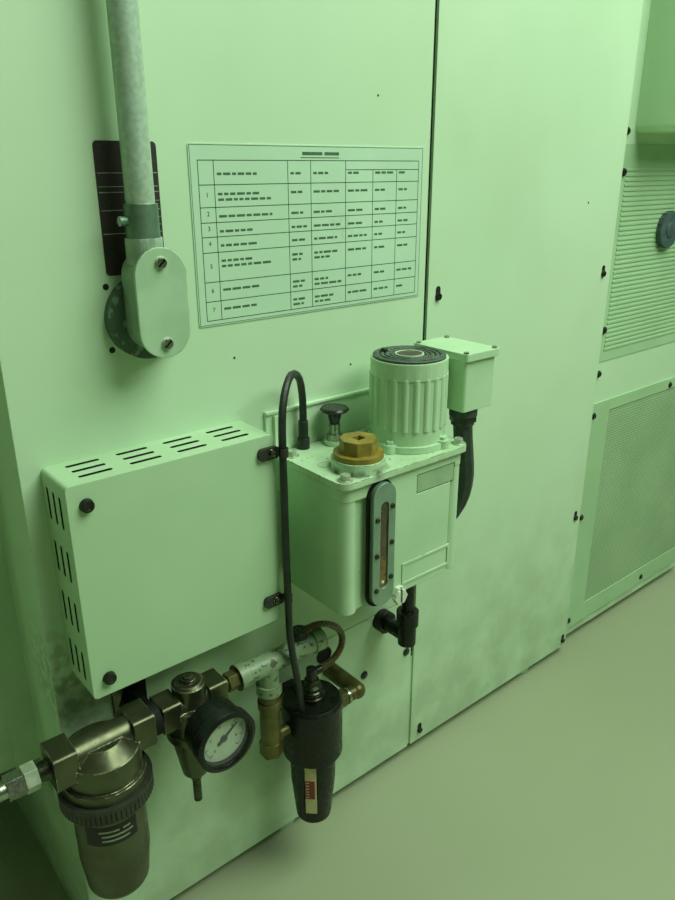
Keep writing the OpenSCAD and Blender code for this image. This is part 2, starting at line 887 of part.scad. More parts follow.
// Rear sheet of the service wall, folded at its edges
module rear_side_panel() {
  u0 = seam_u + seam_gap / 2;
  lip = 24;
  color("ivory") {
    on_wall(u0, floor_gap, -sheet)
      linear_extrude(sheet)
        square([panel_end_u - u0, panel_top - floor_gap]);
    on_wall(u0, panel_top - sheet, -lip)
      linear_extrude(lip - sheet + e)
        square([panel_end_u - u0, sheet]);
    for (u = [u0, panel_end_u - sheet])
      on_wall(u, return_z, -lip)
        linear_extrude(lip - sheet + e)
          square([sheet, panel_top - return_z]);
  }
}

cab_x0 = left_x + 2;
cab_face = wall_x - cabinet_step - 2;
cab_y1 = y_back - 25.3;
cab_z0 = 20;
cab_wall = 8;
door_x0 = cx + 60;
hinge_x = cab_face - 14;
hinge_y = cab_y1 + 12.6;
hinge_z = [260, 1000, panel_top - 230];

// Hollow cabinet with the cooling unit on its service side
module electrical_cabinet() {
  t = cab_wall;
  cooler_u0 = 1228;
  cooler_z0 = 985;
  cooler_w = back_u - cooler_u0 - 40;
  cooler_h = 700;
  color("ivory")
    difference() {
      union() {
        block([cab_x0, cab_y0, cab_z0], [cab_face, cab_y1, panel_top]);
        on_wall(cooler_u0 + cooler_w / 2, cooler_z0 + cooler_h / 2, -cabinet_step - 2 - e)
          linear_extrude(72)
            rounded(cooler_w, cooler_h, 12);
        block([cab_x0 + 40, cab_y1, cab_z0 + 40], [door_x0 - 20, y_back, panel_top - 40]);
        for (x = [cab_x0 + 60, cab_face - 60], y = [cab_y0 + 60, cab_y1 - 60])
          translate([x, y, 0])
            cylinder(r = 30, h = cab_z0 + e);
        // hinge brackets and their pins
        for (z = hinge_z) {
          translate([hinge_x, hinge_y, z - 60])
            cylinder(r = 7, h = 19.7);
          translate([hinge_x, hinge_y, z - 60])
            cylinder(r = 5, h = 105);
          block([hinge_x - 7, cab_y1 - e, z - 60], [hinge_x + 7, hinge_y, z - 40.3]);
        }
      }
      block([cab_x0 + t, cab_y0 + t, cab_z0 + t], [cab_face - t, cab_y1 - t, panel_top - t]);
      block([door_x0 + 10, cab_y1 - t - e, cab_z0 + 60], [cab_face - 60, cab_y1 + e, panel_top - 60]);
    }
}

// Back plate in the cabinet with five rows of switching devices
module cabinet_devices() {
  plate_y = cab_y0 + cab_wall;
  plate_z0 = cab_z0 + 120;
  plate_z1 = panel_top - 120;
  rows = 5;
  row_h = 160;
  first = plate_z0 + 120;
  pitch = (plate_z1 - 120 - row_h - first) / (rows - 1);
  color("lightgray") {
    block([door_x0 + 20, plate_y, plate_z0], [cab_face - 60, plate_y + 20, plate_z1]);
    for (i = [0:rows - 1])
      block([door_x0 + 80, plate_y + 19, first + i * pitch],
        [cab_face - 160, plate_y + 150, first + i * pitch + row_h]);
  }
}

// Door at the back of the cabinet, on its hinge pins
module cabinet_door() {
  x1 = cab_face - 22;
  color("ivory")
    difference() {
      union() {
        block([door_x0, cab_y1 + slide_gap, cab_z0 + 40], [x1, y_back, panel_top - 40]);
        for (z = hinge_z)
          translate([hinge_x, hinge_y, z - 40])
            cylinder(r = 9, h = 90);
        for (z = hinge_z)
          block([x1 - e, cab_y1 + 7, z - 40], [hinge_x, cab_y1 + 18, z + 50]);
      }
      for (z = hinge_z)
        translate([hinge_x, hinge_y, z - 41])
          cylinder(r = 5 + run_gap, h = 92);
      for (z = hinge_z)
        block([x1 - e, cab_y1, z - 62], [hinge_x + 9, y_back + e, z - 40]);
      translate([door_x0 + 60, y_back - 10, 1000])
        rotate([-90, 0, 0])
          linear_extrude(20)
            rounded(40, 130, 10);
    }
}

// Ribbed air outlet and the framed filter below it, two green covers of one width
module cabinet_vents() {
  u0 = 1190;
  w = back_u - 30 - u0;
  grille_z0 = 602;
  grille_h = 366;
  ribs = 39;
  rib_pitch = 8;
  knob = [w / 2 - 70, 223];
  filter_z0 = 38;
  filter_h = 486;
  rim = [67, 42];
  far_rim = [40, 22];
  color("palegreen")
    on_wall(u0, grille_z0, -cabinet_step - 2)
      union() {
        linear_extrude(1.2)
          square([w, grille_h]);
        for (i = [0:ribs - 1])
          translate([24, 20 + i * rib_pitch, 1])
            linear_extrude(1.4)
              square([w - 48, rib_pitch / 2]);
        translate(knob)
          cylinder(r = 32, h = 12);
      }
  color("darkseagreen")
    on_wall(u0, filter_z0, -cabinet_step - 2)
      difference() {
        linear_extrude(3)
          square([w, filter_h]);
        translate([rim[0], rim[1], 1.5])
          linear_extrude(4)
            square([w, filter_h] - rim - far_rim);
      }
}

conduit_z = 872;
coupling_h = 40;

// Pipe with its connector, two wall straps and a set-screw coupling above the side wall
module conduit() {
  color("darkgray")
    by_wall(conduit_u, conduit_v, 0) {
      difference() {
        translate([0, 0, conduit_z])
          cylinder(r = conduit_r, h = conduit_top - conduit_z);
        translate([0, 0, conduit_z + 40])
          cylinder(r = conduit_r - 1.65, h = conduit_top);
      }
      translate([0, 0, conduit_z])
        cylinder(r = conduit_r + 2.4, h = 30);
      translate([0, 0, conduit_z + 15])
        rotate([90, 0, 0])
          cylinder(r = 4.5, h = conduit_r + 9);
      difference() {
        translate([0, 0, panel_top + 10])
          cylinder(r = conduit_r + 2.4, h = coupling_h);
        translate([0, 0, panel_top])
          cylinder(r = conduit_r - 0.5, h = coupling_h + 20);
      }
    }
  color("gray")
    for (z = [1240, panel_top - 130])
      on_wall(conduit_u, z)
        difference() {
          union() {
            translate([-38, -9, 0])
              cube([76, 18, 3]);
            translate([-conduit_r - 3, -9, 0])
              cube([2 * conduit_r + 6, 18, conduit_v]);
            translate([0, 9, conduit_v])
              rotate([90, 0, 0])
                cylinder(r = conduit_r + 3, h = 18);
          }
          translate([0, 20, conduit_v])
            rotate([90, 0, 0])
              cylinder(r = conduit_r + 0.3, h = 40);
          translate([-conduit_r - 0.3, -20, -e])
            cube([2 * conduit_r + 0.6, 40, conduit_v + e]);
        }
}

body_u = 327;
body_w_mid = 812;

// Cast outlet body below the pipe, on its round wall hub
module conduit_body() {
  color("gray") {
    on_wall(body_u, body_w_mid - 18)
      cylinder(r = 41, h = 12);
    on_wall(body_u, body_w_mid, 11)
      linear_extrude(conduit_v + 19 - 13)
        rotate(90)
          slot2d(96, 24);
    by_wall(conduit_u, conduit_v, conduit_z - 24)
      cylinder(r = conduit_r + 4, h = 24 - slide_gap);
  }
}

// Oval cover with two screws
module conduit_cover() {
  color("darkgray")
    on_wall(body_u, body_w_mid, conduit_v + 17 + slide_gap)
      union() {
        linear_extrude(3)
          rotate(90)
            slot2d(104, 26.5);
        for (s = [-1, 1])
          translate([0, s * 38, 2])
            cylinder(r = 5.5, h = 3);
      }
}

// Sheet box with slots in its top and its left side
module vent_box() {
  slot_l = 22;
  slot_r = 2.6;
  color("ivory")
    difference() {
      on_wall(vent_u + vent_w / 2, vent_z + vent_h / 2)
        difference() {
          linear_extrude(vent_d)
            rounded(vent_w, vent_h, 5);
          translate([0, 0, -vent_sheet])
            linear_extrude(vent_d)
              rounded(vent_w - 2 * vent_sheet, vent_h - 2 * vent_sheet, 3);
        }
      for (i = [0:3], j = [0:2])
        by_wall(vent_u + 37 + i * 52, 13 + j * 16, vent_z + vent_h - 8)
          rotate(90)
            linear_extrude(16)
              slot2d(34, slot_r);
      for (i = [0:3], j = [0:2])
        by_wall(vent_u - 8, 13 + j * 16, vent_z + 32 + i * 57)
          rotate([0, 90, 90])
            linear_extrude(16)
              slot2d(34, slot_r);
    }
  color("dimgray")
    for (p = [[18, vent_h - 22], [18, 20], [vent_w - 16, vent_h - 20], [vent_w - 16, 30]])
      on_wall(vent_u + p[0], vent_z + p[1], vent_d)
        cylinder(r = 6.5, h = 4);
}

tank_z = lid_top - lid_t - tank_h;
tank_u = lid_u + 5;
tank_w = lid_w - 10;
tank_v1 = lid_v + lid_d - 5;
lid_mid_u = lid_u + lid_w / 2;
lid_mid_v = lid_v + lid_d / 2;

// Channel bracket behind the tank, with a gusset
module lube_bracket() {
  u0 = 466;
  u1 = 690;
  z1 = 664;
  z0 = 560;
  color("ivory")
    union() {
      on_wall(u0, z0)
        linear_extrude(lid_v - 1.5)
          square([u1 - u0, z1 - z0]);
      on_wall(u0, z1 - 3)
        linear_extrude(6)
          square([u1 - u0, 3]);
      for (u = [u0 + 10, u1 - 30])
        on_wall(u, lid_top + 8)
          linear_extrude(8)
            square([14, 38]);
    }
}

// Hollow cast tank with a deeper rim, a fluted front corner and the drain plug
module lube_tank() {
  d = tank_v1 - lid_v - 2;
  mid_u = tank_u + tank_w / 2;
  mid_v = lid_v + 2 + d / 2;
  rim_h = 17;
  wall = 6;
  flute = 6;
  color("ivory")
    difference() {
      union() {
        by_wall(mid_u, mid_v - flute / 2, tank_z)
          linear_extrude(tank_h)
            rounded(d - flute, tank_w - 2, 10);
        by_wall(mid_u, mid_v, lid_top - lid_t - rim_h)
          linear_extrude(rim_h)
            rounded(d, tank_w, 12);
        by_wall(mid_u + 8, mid_v, tank_z)
          linear_extrude(tank_h)
            rounded(d, tank_w - 60, 4);
        for (u = [tank_u + 12.5, tank_u + tank_w - 12.5])
          by_wall(u, tank_v1 - 12.5, tank_z)
            cylinder(r = 12, h = tank_h);
        on_wall(tank_u + tank_w - 62, tank_z + 24, tank_v1 - e)
          linear_extrude(2)
            difference() {
              square([84, 30], center = true);
              square([77, 23], center = true);
            }
      }
      by_wall(mid_u, mid_v - flute / 2, tank_z + wall)
        linear_extrude(tank_h)
          rounded(d - flute - 2 * wall, tank_w - 2 - 2 * wall, 6);
      by_wall(outlet_u, outlet_v, tank_z - e)
        cylinder(r = 9.3, h = 24);
      on_wall(tank_u + tank_w - 50, 580, tank_v1 - 1)
        linear_extrude(4)
          square([66, 25], center = true);
    }
  color("white")
    on_wall(tank_u + 86, tank_z + 3, tank_v1 - e)
      difference() {
        cylinder(r = 9, h = 7, $fn = 6);
        translate([-1.5, -12, 5])
          cube([3, 24, 6]);
      }
}

outlet_u = 662;
outlet_v = 55;

// Lid with its filler boss, the pump's boss and corner bolts
module lube_lid() {
  color("ivory")
    difference() {
      union() {
        by_wall(lid_mid_u, lid_mid_v, lid_top - lid_t)
          linear_extrude(lid_t)
            rounded(lid_d, lid_w, 14);
        by_wall(cap_u, cap_v, lid_top - e)
          cylinder(r = cap_r + 2.5, h = 13 + e);
        by_wall(pump_u, pump_v, lid_top - e)
          cylinder(r = 14, h = 5 + e);
        for (p = [[13, lid_d - 12], [lid_w - 10, lid_d - 12], [lid_w - 12, 12], [12, 22]])
          by_wall(lid_u + p[0], lid_v + p[1], lid_top - e)
            cylinder(r = 5.5, h = 6 + e);
      }
      by_wall(cap_u, cap_v, lid_top - 20)
        cylinder(r = 16, h = 40);
      by_wall(pump_u, pump_v, lid_top - 20)
        cylinder(r = 7.1, h = 40);
    }
}

cap_u = 524;
cap_v = 103;
pump_u = 553;
pump_v = 25;
motor_u = 628;
motor_v = 76;

// Stadium frame with its oil window
module sight_gauge() {
  color("gray")
    on_wall(tank_u + 54, lid_top - lid_t - 82, tank_v1 + slide_gap)
      difference() {
        union() {
          linear_extrude(8)
            rotate(90)
              slot2d(158, 17);
          for (i = [0:2], s = [-1, 1])
            translate([s * 11.5, -50 + 46 * i + 6 * s, 7])
              cylinder(r = 2.8, h = unit_reach - lid_v - lid_d + 5 - slide_gap - 7, $fn = 24);
        }
        translate([0, 0, 3])
          linear_extrude(10)
            rotate(90)
              slot2d(112, 6.5);
      }
}

// Eight-sided screw cap with a square recess
module filler_cap() {
  color("goldenrod")
    by_wall(cap_u, cap_v, lid_top + 13 + slide_gap)
      difference() {
        union() {
          cylinder(r = cap_r, h = 6);
          translate([0, 0, 5])
            cylinder(r = cap_r - 7, h = 17, $fn = 8);
          translate([0, 0, -16])
            cylinder(r = 16 - run_gap, h = 17);
        }
        translate([-6, -6, 16])
          cube([12, 12, 10]);
      }
}

// Ribbed motor on its bolted flange, with a ringed cap on top
module pump_motor() {
  rib_r = 4.6;
  color("ivory")
    by_wall(motor_u, motor_v, lid_top + slide_gap) {
      cylinder(r = motor_r + 3, h = 8);
      for (a = [20, 110, 200, 290])
        rotate(a) {
          translate([motor_r + 1, 0, 0])
            cylinder(r = 8, h = 10);
          translate([motor_r + 1, 0, 9])
            cylinder(r = 4.5, h = 5, $fn = 6);
        }
      translate([0, 0, 7])
        cylinder(r = motor_r - 1, h = motor_h - 9);
      translate([0, 0, motor_h - 22])
        cylinder(r = motor_r, h = 20);
      for (i = [0:motor_ribs - 1])
        rotate(i * 360 / motor_ribs)
          translate([motor_r - rib_r + 1, 0, 26])
            cylinder(r = rib_r, h = motor_h - 46, $fn = 20);
    }
  color("dimgray")
    by_wall(motor_u, motor_v, lid_top + slide_gap + motor_h - 3)
      difference() {
        cylinder(r = motor_r - 3, h = 4);
        for (i = [0:3])
          translate([0, 0, 2.4])
            linear_extrude(4)
              difference() {
                circle(20 + 6 * i);
                circle(17 + 6 * i);
              }
      }
}

box_u = 708.5;
box_v = 78;
box_z = 648;

// Terminal box beside the motor, with an overhanging lid
module junction_box() {
  color("ivory") {
    by_wall(box_u, box_v, box_z)
      linear_extrude(66)
        rounded(84, 56, 4);
    by_wall(box_u, box_v, box_z + 65)
      linear_extrude(9)
        rounded(92, 62, 4);
    by_wall(motor_u + motor_r + 1 + slide_gap, box_v - 16, box_z + 14)
      cube([32, box_u - motor_u - motor_r - 20, 34]);
  }
}

// Points along the flexible conduit behind the tank, in u, v and w
motor_conduit_path = [[705, 99, 630], [709, 98, 604], [717, 95, 575], [724, 92, 545], [725, 87, 515],
  [718, 78, 487], [707, 62, 465], [697, 42, 453], [691, 22, 449], [690, slide_gap, 448]];
level_cable_path = [[513, 14, 640], [513, 14, 668], [507, 19, 694], [494, 30, 710], [477, 42, 716],
  [461, 54, 708], [449, 63, 688], [443, 69, 660], [441, 72, 610], [441, 72, 550], [441, 73, 490],
  [439, 77, 440], [438, 80, 408], [442, 81, 370], [450, 78, 330], [456, 74, 300], [458, 72, 285.4]];
hose_path = [[474, 60, 391], [492, 59, 391], [512, 57, 383], [530, 55, 369], [540, 54, 352], [538, 55, 336],
  [526, 57, 326], [508, 59, 322], [494, 60, 322]];

function unit(a) = a / norm(a);
function lerp_at(a, b, t) = a + (b - a) * t;
// Catmull-Rom point between the middle two of four points
function spline_at(a, b, c, d, t) =
  0.5 * (2 * b + (c - a) * t + (2 * a - 5 * b + 4 * c - d) * t * t + (3 * b - a - 3 * c + d) * t * t * t);
function smooth_path(p, n) = [for (i = [0:len(p) - 2], k = [0:n - 1])
  spline_at(p[max(i - 1, 0)], p[i], p[i + 1], p[min(i + 2, len(p) - 1)], k / n), p[len(p) - 1]];
function place(q) = [wall_x + q[1], u_zero + q[0], q[2]];
function tangent(p, i) = unit(p[min(i + 1, len(p) - 1)] - p[max(i - 1, 0)]);
function side_of(t) = unit(cross(t, abs(t[0]) < 0.8 ? [1, 0, 0] : [0, 1, 0]));
// Each ring's first side is the last ring's, turned as little as the bend asks
function frames(p, i = 0, s = undef) =
  let (t = tangent(p, i), n0 = i == 0 ? side_of(t) : unit(s - t * (s * t)))
  i == len(p) - 1 ? [n0] : concat([n0], frames(p, i + 1, n0));

// Tube of eight sides along a route
module tube(route, r, n) {
  sides = 8;
  p = [for (q = smooth_path(route, n)) place(q)];
  m = len(p);
  f = frames(p);
  pts = [for (i = [0:m - 1], k = [0:sides - 1])
    p[i] + r * (f[i] * cos(k * 360 / sides) + cross(tangent(p, i), f[i]) * sin(k * 360 / sides))];
  sidefaces = [for (i = [0:m - 2], k = [0:sides - 1])
    [i * sides + k, (i + 1) * sides + k, (i + 1) * sides + (k + 1) % sides, i * sides + (k + 1) % sides]];
  first = [for (k = [0:sides - 1]) k];
  last = [for (k = [0:sides - 1]) (m - 1) * sides + sides - 1 - k];
  polyhedron(pts, concat([first], sidefaces, [last]), convexity = 6);
}

// Black gland under the terminal box, and the flexible conduit to the wall
module motor_conduit() {
  color("dimgray") {
    by_wall(705, 99, 636)
      cylinder(r = 18, h = box_z - 636 - slide_gap);
    by_wall(705, 99, 624)
      cylinder(r = 15, h = 13);
    tube(motor_conduit_path, 12.4, 2);
  }
}

// Steel barrel of the hand pump, in the lid
module pump_barrel() {
  color("silver")
    by_wall(pump_u, pump_v, lid_top - lid_t)
      difference() {
        union() {
          cylinder(r = 7, h = 34);
          translate([0, 0, lid_t + 5 + slide_gap])
            cylinder(r = 9.5, h = 8);
        }
        translate([0, 0, 6])
          cylinder(r = 3.5 + run_gap, h = 40);
      }
}

// Black knob and rod that lift to prime the pump
module pump_knob() {
  color("black")
    by_wall(pump_u, pump_v, lid_top) {
      translate([0, 0, 2])
        cylinder(r = 3.5, h = 30);
      translate([0, 0, 27])
        rotate_extrude()
          polygon([[0, 0], [6, 0], [8, 8], [9, 13], [16, 15], [18, 17.5], [16, 20], [8, 21.5], [0, 21.5]]);
    }
}

// Cable with its moulded plug on the lid
module level_cable() {
  color("black") {
    by_wall(513, 14, lid_top + slide_gap)
      cylinder(r = 7.5, h = 13);
    by_wall(513, 14, lid_top + 13)
      cylinder(r = 6, h = 22);
    tube(level_cable_path, 4.5, 2);
  }
}

// Stub, union nut and elbow into the wall below the tank
module lube_outlet() {
  elbow_w = 300;
  color("black") {
    by_wall(outlet_u, outlet_v, elbow_w - 12)
      cylinder(r = 9, h = tank_z + 18 - elbow_w + 12);
    by_wall(outlet_u, outlet_v, elbow_w + 18)
      cylinder(r = 16, h = 22);
    by_wall(outlet_u, outlet_v, elbow_w - 14)
      cylinder(r = 13, h = 33);
    on_wall(outlet_u, elbow_w - 2)
      cylinder(r = 11, h = outlet_v);
    on_wall(outlet_u, elbow_w - 2)
      cylinder(r = 17, h = 14);
  }
}

filter_u = 206;
filter_left = filter_u - filter_w / 2;
filter_right = filter_u + filter_w / 2;
spacer_w = 10;
regulator_u = filter_right + spacer_w + regulator_w / 2 + 1;
regulator_right = regulator_u + regulator_w / 2;

// Turned pieces along the unit's axis
module along_air(u) {
  translate([wall_x + air_v, u_zero + u, air_w])
    rotate([-90, 0, 0])
      children();
}

// Coupler tail, nipple and hexagon of the inlet
module air_inlet() {
  color("silver")
    difference() {
      union() {
        along_air(filter_left - 96)
          cylinder(r = 6, h = 40);
        along_air(filter_left - 62)
          cylinder(r = 9.5, h = 22);
        along_air(filter_left - 42)
          cylinder(r = 13.5, h = 20, $fn = 6);
        along_air(filter_left - 23)
          cylinder(r1 = 8, r2 = 11, h = 22.7);
      }
      along_air(filter_left - 97)
        cylinder(r = 3, h = 13);
    }
}

// Cast head with square ports and a low dome, and the black spacer with its wall bracket
module filter_head() {
  port = 40;
  color("darkkhaki")
    difference() {
      union() {
        for (u = [filter_left, filter_right - 24])
          by_wall(u + 12, air_v, air_w)
            rotate([90, 0, 0])
              translate([0, 0, -12])
                linear_extrude(24)
                  rounded(port, port, 5);
        along_air(filter_left + 10)
          cylinder(r = 18, h = filter_w - 20);
        by_wall(filter_u, air_v, air_w - 36)
          cylinder(r = 40, h = 32);
        by_wall(filter_u, air_v, air_w - 5)
          cylinder(r1 = 40, r2 = 24, h = 14);
        by_wall(filter_u, air_v, air_w - 44)
          cylinder(r = 44, h = 12);
      }
      along_air(filter_right - 3)
        cylinder(r = 9, h = 4);
    }
  color("black") {
    along_air(filter_right + slide_gap)
      cylinder(r = 19, h = spacer_w - slide_gap);
    by_wall(filter_right + 1, 0, air_w - 15)
      cube([air_v, spacer_w - 2, 30]);
    on_wall(filter_right + 5, air_w)
      linear_extrude(4)
        rounded(40, 60, 6);
  }
}

// Clamp ring with fine notches
module filter_ring() {
  z = air_w - 44 - 18 - slide_gap;
  color("dimgray")
    by_wall(filter_u, air_v, z)
      difference() {
        cylinder(r = ring_r, h = 18);
        translate([0, 0, -e])
          cylinder(r = bowl_r + slide_gap, h = 30);
        for (i = [0:ring_notches - 1])
          rotate(i * 360 / ring_notches)
            translate([ring_r, 0, -e])
              cylinder(r = 1.1, h = 14, $fn = 4);
      }
}

// Metal bowl with its drain
module filter_bowl() {
  top = air_w - 44 - slide_gap;
  l = 146;
  color("tan")
    by_wall(filter_u, air_v, top - l)
      union() {
        rotate_extrude()
          polygon(concat([[0, 0]], [for (a = [0:10:90]) [bowl_r - 4 - 12 * (1 - sin(a)), 12 * (1 - cos(a))]],
            [[bowl_r, 50], [bowl_r, l], [0, l]]));
        translate([0, 0, -8])
          cylinder(r = 6, h = 9);
      }
}

// Body with ports, a domed top with its plug, and the tapered spring bonnet
module regulator() {
  port = 34;
  color("darkkhaki")
    difference() {
      union() {
        for (u = [regulator_right - regulator_w, regulator_right - 22])
          by_wall(u + 11, air_v, air_w)
            rotate([90, 0, 0])
              translate([0, 0, -11])
                linear_extrude(22)
                  rounded(port, port, 4);
        along_air(regulator_right - regulator_w + 8)
          cylinder(r = 16, h = regulator_w - 16);
        by_wall(regulator_u, air_v, air_w - 34)
          cylinder(r = 27, h = 34);
        by_wall(regulator_u, air_v, air_w - 5)
          cylinder(r = 19, h = 30);
        by_wall(regulator_u, air_v, air_w + 24)
          cylinder(r1 = 19, r2 = 15, h = 4);
        by_wall(regulator_u, air_v, air_w + 27)
          cylinder(r = 8, h = 4);
        by_wall(regulator_u, air_v, air_w + 30)
          cylinder(r = 5, h = 4, $fn = 6);
        by_wall(regulator_u, air_v, air_w - 42)
          cylinder(r = 29, h = 10);
        by_wall(regulator_u, air_v, air_w - 98)
          cylinder(r1 = 15, r2 = 25, h = 57);
        on_wall(regulator_u + gauge_du, gauge_w, air_v + 10)
          cylinder(r = 9, h = gauge_front - gauge_depth - 3 - air_v - 10);
      }
      by_wall(regulator_u, air_v, air_w - 99)
        cylinder(r = 5 + run_gap, h = 45);
      along_air(regulator_right - 3)
        cylinder(r = 8.5, h = 4);
    }
}

gauge_du = 8;
gauge_w = air_w - 18;
gauge_depth = 36;

// Adjusting screw below the bonnet
module adjusting_screw() {
  color("dimgray")
    by_wall(regulator_u, air_v, air_w - 143) {
      cylinder(r = 5, h = 85);
      translate([0, 0, 34])
        cylinder(r = 8, h = 8, $fn = 6);
    }
}

// Round gauge with a deep black case
module pressure_gauge() {
  depth = gauge_depth;
  color("black")
    on_wall(regulator_u + gauge_du, gauge_w, gauge_front - depth)
      difference() {
        union() {
          cylinder(r = gauge_r - 2, h = depth - 3);
          translate([0, 0, depth - 14])
            cylinder(r = gauge_r, h = 14);
          translate([0, 0, -3 + slide_gap])
            cylinder(r = 12, h = 6, $fn = 6);
        }
        translate([0, 0, depth - 9])
          cylinder(r = gauge_r - 6, h = 10);
        translate([0, 0, depth - 15])
          cylinder(r = 1.5 + run_gap, h = 10);
      }
}

// Pointer on its arbor, with a tail
module gauge_pointer() {
  color("black")
    on_wall(regulator_u + gauge_du, gauge_w, gauge_front - 14) {
      cylinder(r = 1.5, h = 7.5);
      translate([0, 0, 5.6])
        cylinder(r = 4, h = 1.8);
      translate([0, 0, 5.8])
        rotate(36)
          linear_extrude(1)
            polygon([[-9, -2], [-9, 2], [22, 0.5], [22, -0.5]]);
    }
}

tee_right = 500;
leg_u = 418;

// Brass nipple and the painted tee with its lower leg
module air_tee() {
  color("palegreen")
    union() {
      along_air(regulator_right + slide_gap)
        cylinder(r = 8, h = 24);
      along_air(regulator_right + 8)
        cylinder(r = 12, h = 14, $fn = 6);
      along_air(regulator_right + 22)
        cylinder(r = 16, h = 14);
      along_air(regulator_right + 22)
        cylinder(r = 13.5, h = tee_right - regulator_right - 22);
      along_air(tee_right - 16)
        cylinder(r = 15, h = 16);
      by_wall(leg_u, air_v, air_w - 38)
        cylinder(r = 13, h = 38);
      by_wall(leg_u, air_v, air_w - 42)
        cylinder(r = 16, h = 14);
      by_wall(466, air_v, air_w)
        cylinder(r = 8, h = 16);
    }
}

// Brass valve body under the tee, with its hexagon and the nipple to the lubricator
module brass_valve() {
  top = air_w - 42 - slide_gap;
  color("peru") {
    by_wall(leg_u, air_v, top - 78)
      cylinder(r = 13, h = 78);
    by_wall(leg_u, air_v, top - 22)
      cylinder(r = 15, h = 10);
    by_wall(leg_u, air_v, top - 94)
      cylinder(r = 15, h = 20, $fn = 6);
    along_lubricator(leg_u)
      cylinder(r = 8, h = lubricator_left - leg_u - slide_gap);
  }
}

lubricator_u = 484;
lubricator_left = lubricator_u - lubricator_r;
lubricator_right = lubricator_u + lubricator_r;
lubricator_z = 256;
lubricator_top = 285;
collar_z = 203;

module along_lubricator(u) {
  translate([wall_x + air_v, u_zero + u, lubricator_z])
    rotate([-90, 0, 0])
      children();
}

// Black round body with its sight dome and the bracket behind it
module lubricator_head() {
  color("black")
    by_wall(lubricator_u, air_v, collar_z) {
      cylinder(r = lubricator_r, h = lubricator_top - collar_z - 4);
      translate([0, 0, lubricator_top - collar_z - 4])
        cylinder(r1 = lubricator_r, r2 = lubricator_r - 3, h = 4);
      translate([-air_v, -12, 30])
        cube([air_v - lubricator_r + 4, 24, 40]);
    }
  color("gray")
    by_wall(lubricator_u, air_v, lubricator_top - e) {
      cylinder(r = 15, h = 11);
      translate([0, 0, 10])
        cylinder(r1 = 12, r2 = 8, h = 17);
    }
}

// Bowl in its guard, with a window slot and the drain
module lubricator_bowl() {
  l = 118;
  color("black")
    by_wall(lubricator_u, air_v, collar_z - slide_gap - l)
      difference() {
        union() {
          rotate_extrude()
            polygon([[0, 0], [14, 0], [24, 9], [30, 70], [31, l], [0, l]]);
          translate([0, 0, -9])
            cylinder(r = 6, h = 10);
        }
        rotate(-44)
          translate([23, -9, 34])
            cube([20, 18, 62]);
      }
}

// Brown hose from its knurled fitting on the tee round to the lubricator
module lubricator_hose() {
  color("saddlebrown")
    tube(hose_path, 4.5, 3);
  color("black") {
    by_wall(466, air_v, air_w + 16 + slide_gap)
      cylinder(r = 10, h = 11);
    translate([wall_x + air_v, u_zero + 466, 391])
      rotate([-90, 0, 0])
        cylinder(r = 5.5, h = 14);
    by_wall(lubricator_u, air_v, lubricator_top + 26 + slide_gap)
      cylinder(r = 7, h = 18);
    translate([wall_x + air_v, u_zero + lubricator_u, 322])
      rotate([-90, 0, 0])
        cylinder(r = 5.5, h = 16);
  }
}

// Brass elbow from the lubricator into the wall
module lubricator_elbow() {
  end_u = 562;
  color("peru") {
    along_lubricator(lubricator_right + slide_gap)
      cylinder(r = 13, h = 14, $fn = 6);
    along_lubricator(lubricator_right + 12)
      cylinder(r = 10, h = end_u - lubricator_right - 12);
    by_wall(end_u, air_v, lubricator_z)
      sphere(r = 12);
    on_wall(end_u, lubricator_z)
      cylinder(r = 12, h = air_v);
  }
}

machine_bed();
levelling_feet();
base_frame();
column();
axis_motors();
coolant_tank();
splash_guard();
saddle();
x_axis_motor();
table();
spindle_head();
spindle_motor();
spindle();
x_ball_screw();
y_ball_screw();
z_ball_screw();
magazine_carriage();
tool_magazine();
guard_door();
door_window();
pendant_arm();
control_panel();
emergency_stop();
handwheel();
front_side_panel();
rear_side_panel();
electrical_cabinet();
cabinet_devices();
cabinet_door();
cabinet_vents();
conduit();
conduit_body();
conduit_cover();
vent_box();
lube_bracket();
lube_tank();
lube_lid();
sight_gauge();
filler_cap();
pump_motor();
junction_box();
motor_conduit();
pump_barrel();
pump_knob();
level_cable();
lube_outlet();
air_inlet();
filter_head();
filter_ring();
filter_bowl();
regulator();
adjusting_screw();
pressure_gauge();
gauge_pointer();
air_tee();
brass_valve();
lubricator_head();
lubricator_bowl();
lubricator_hose();
lubricator_elbow();
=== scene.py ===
import math
import random

import bmesh
import bpy
from mathutils import Matrix, Vector


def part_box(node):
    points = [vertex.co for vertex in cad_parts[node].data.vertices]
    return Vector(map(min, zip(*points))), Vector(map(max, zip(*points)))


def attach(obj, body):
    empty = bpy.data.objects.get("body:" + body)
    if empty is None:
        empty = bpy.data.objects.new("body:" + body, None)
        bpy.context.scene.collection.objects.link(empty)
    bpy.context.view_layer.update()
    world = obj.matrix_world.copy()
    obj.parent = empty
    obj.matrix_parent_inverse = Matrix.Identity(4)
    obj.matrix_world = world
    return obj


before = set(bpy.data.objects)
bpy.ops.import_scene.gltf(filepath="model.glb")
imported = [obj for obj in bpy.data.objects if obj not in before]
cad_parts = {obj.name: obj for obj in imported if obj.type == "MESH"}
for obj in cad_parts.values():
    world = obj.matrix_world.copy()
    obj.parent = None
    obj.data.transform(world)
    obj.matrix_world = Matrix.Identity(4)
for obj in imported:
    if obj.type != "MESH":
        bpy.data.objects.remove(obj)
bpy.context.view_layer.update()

# Places are millimetres on the service wall: u along it towards the rear (x on the face), w up (y) and v out (z)
MM = 0.001
CORNER_U = 185
WALL_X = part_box("front_side_panel")[1].x
U_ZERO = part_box("front_side_panel")[0].y - CORNER_U * MM


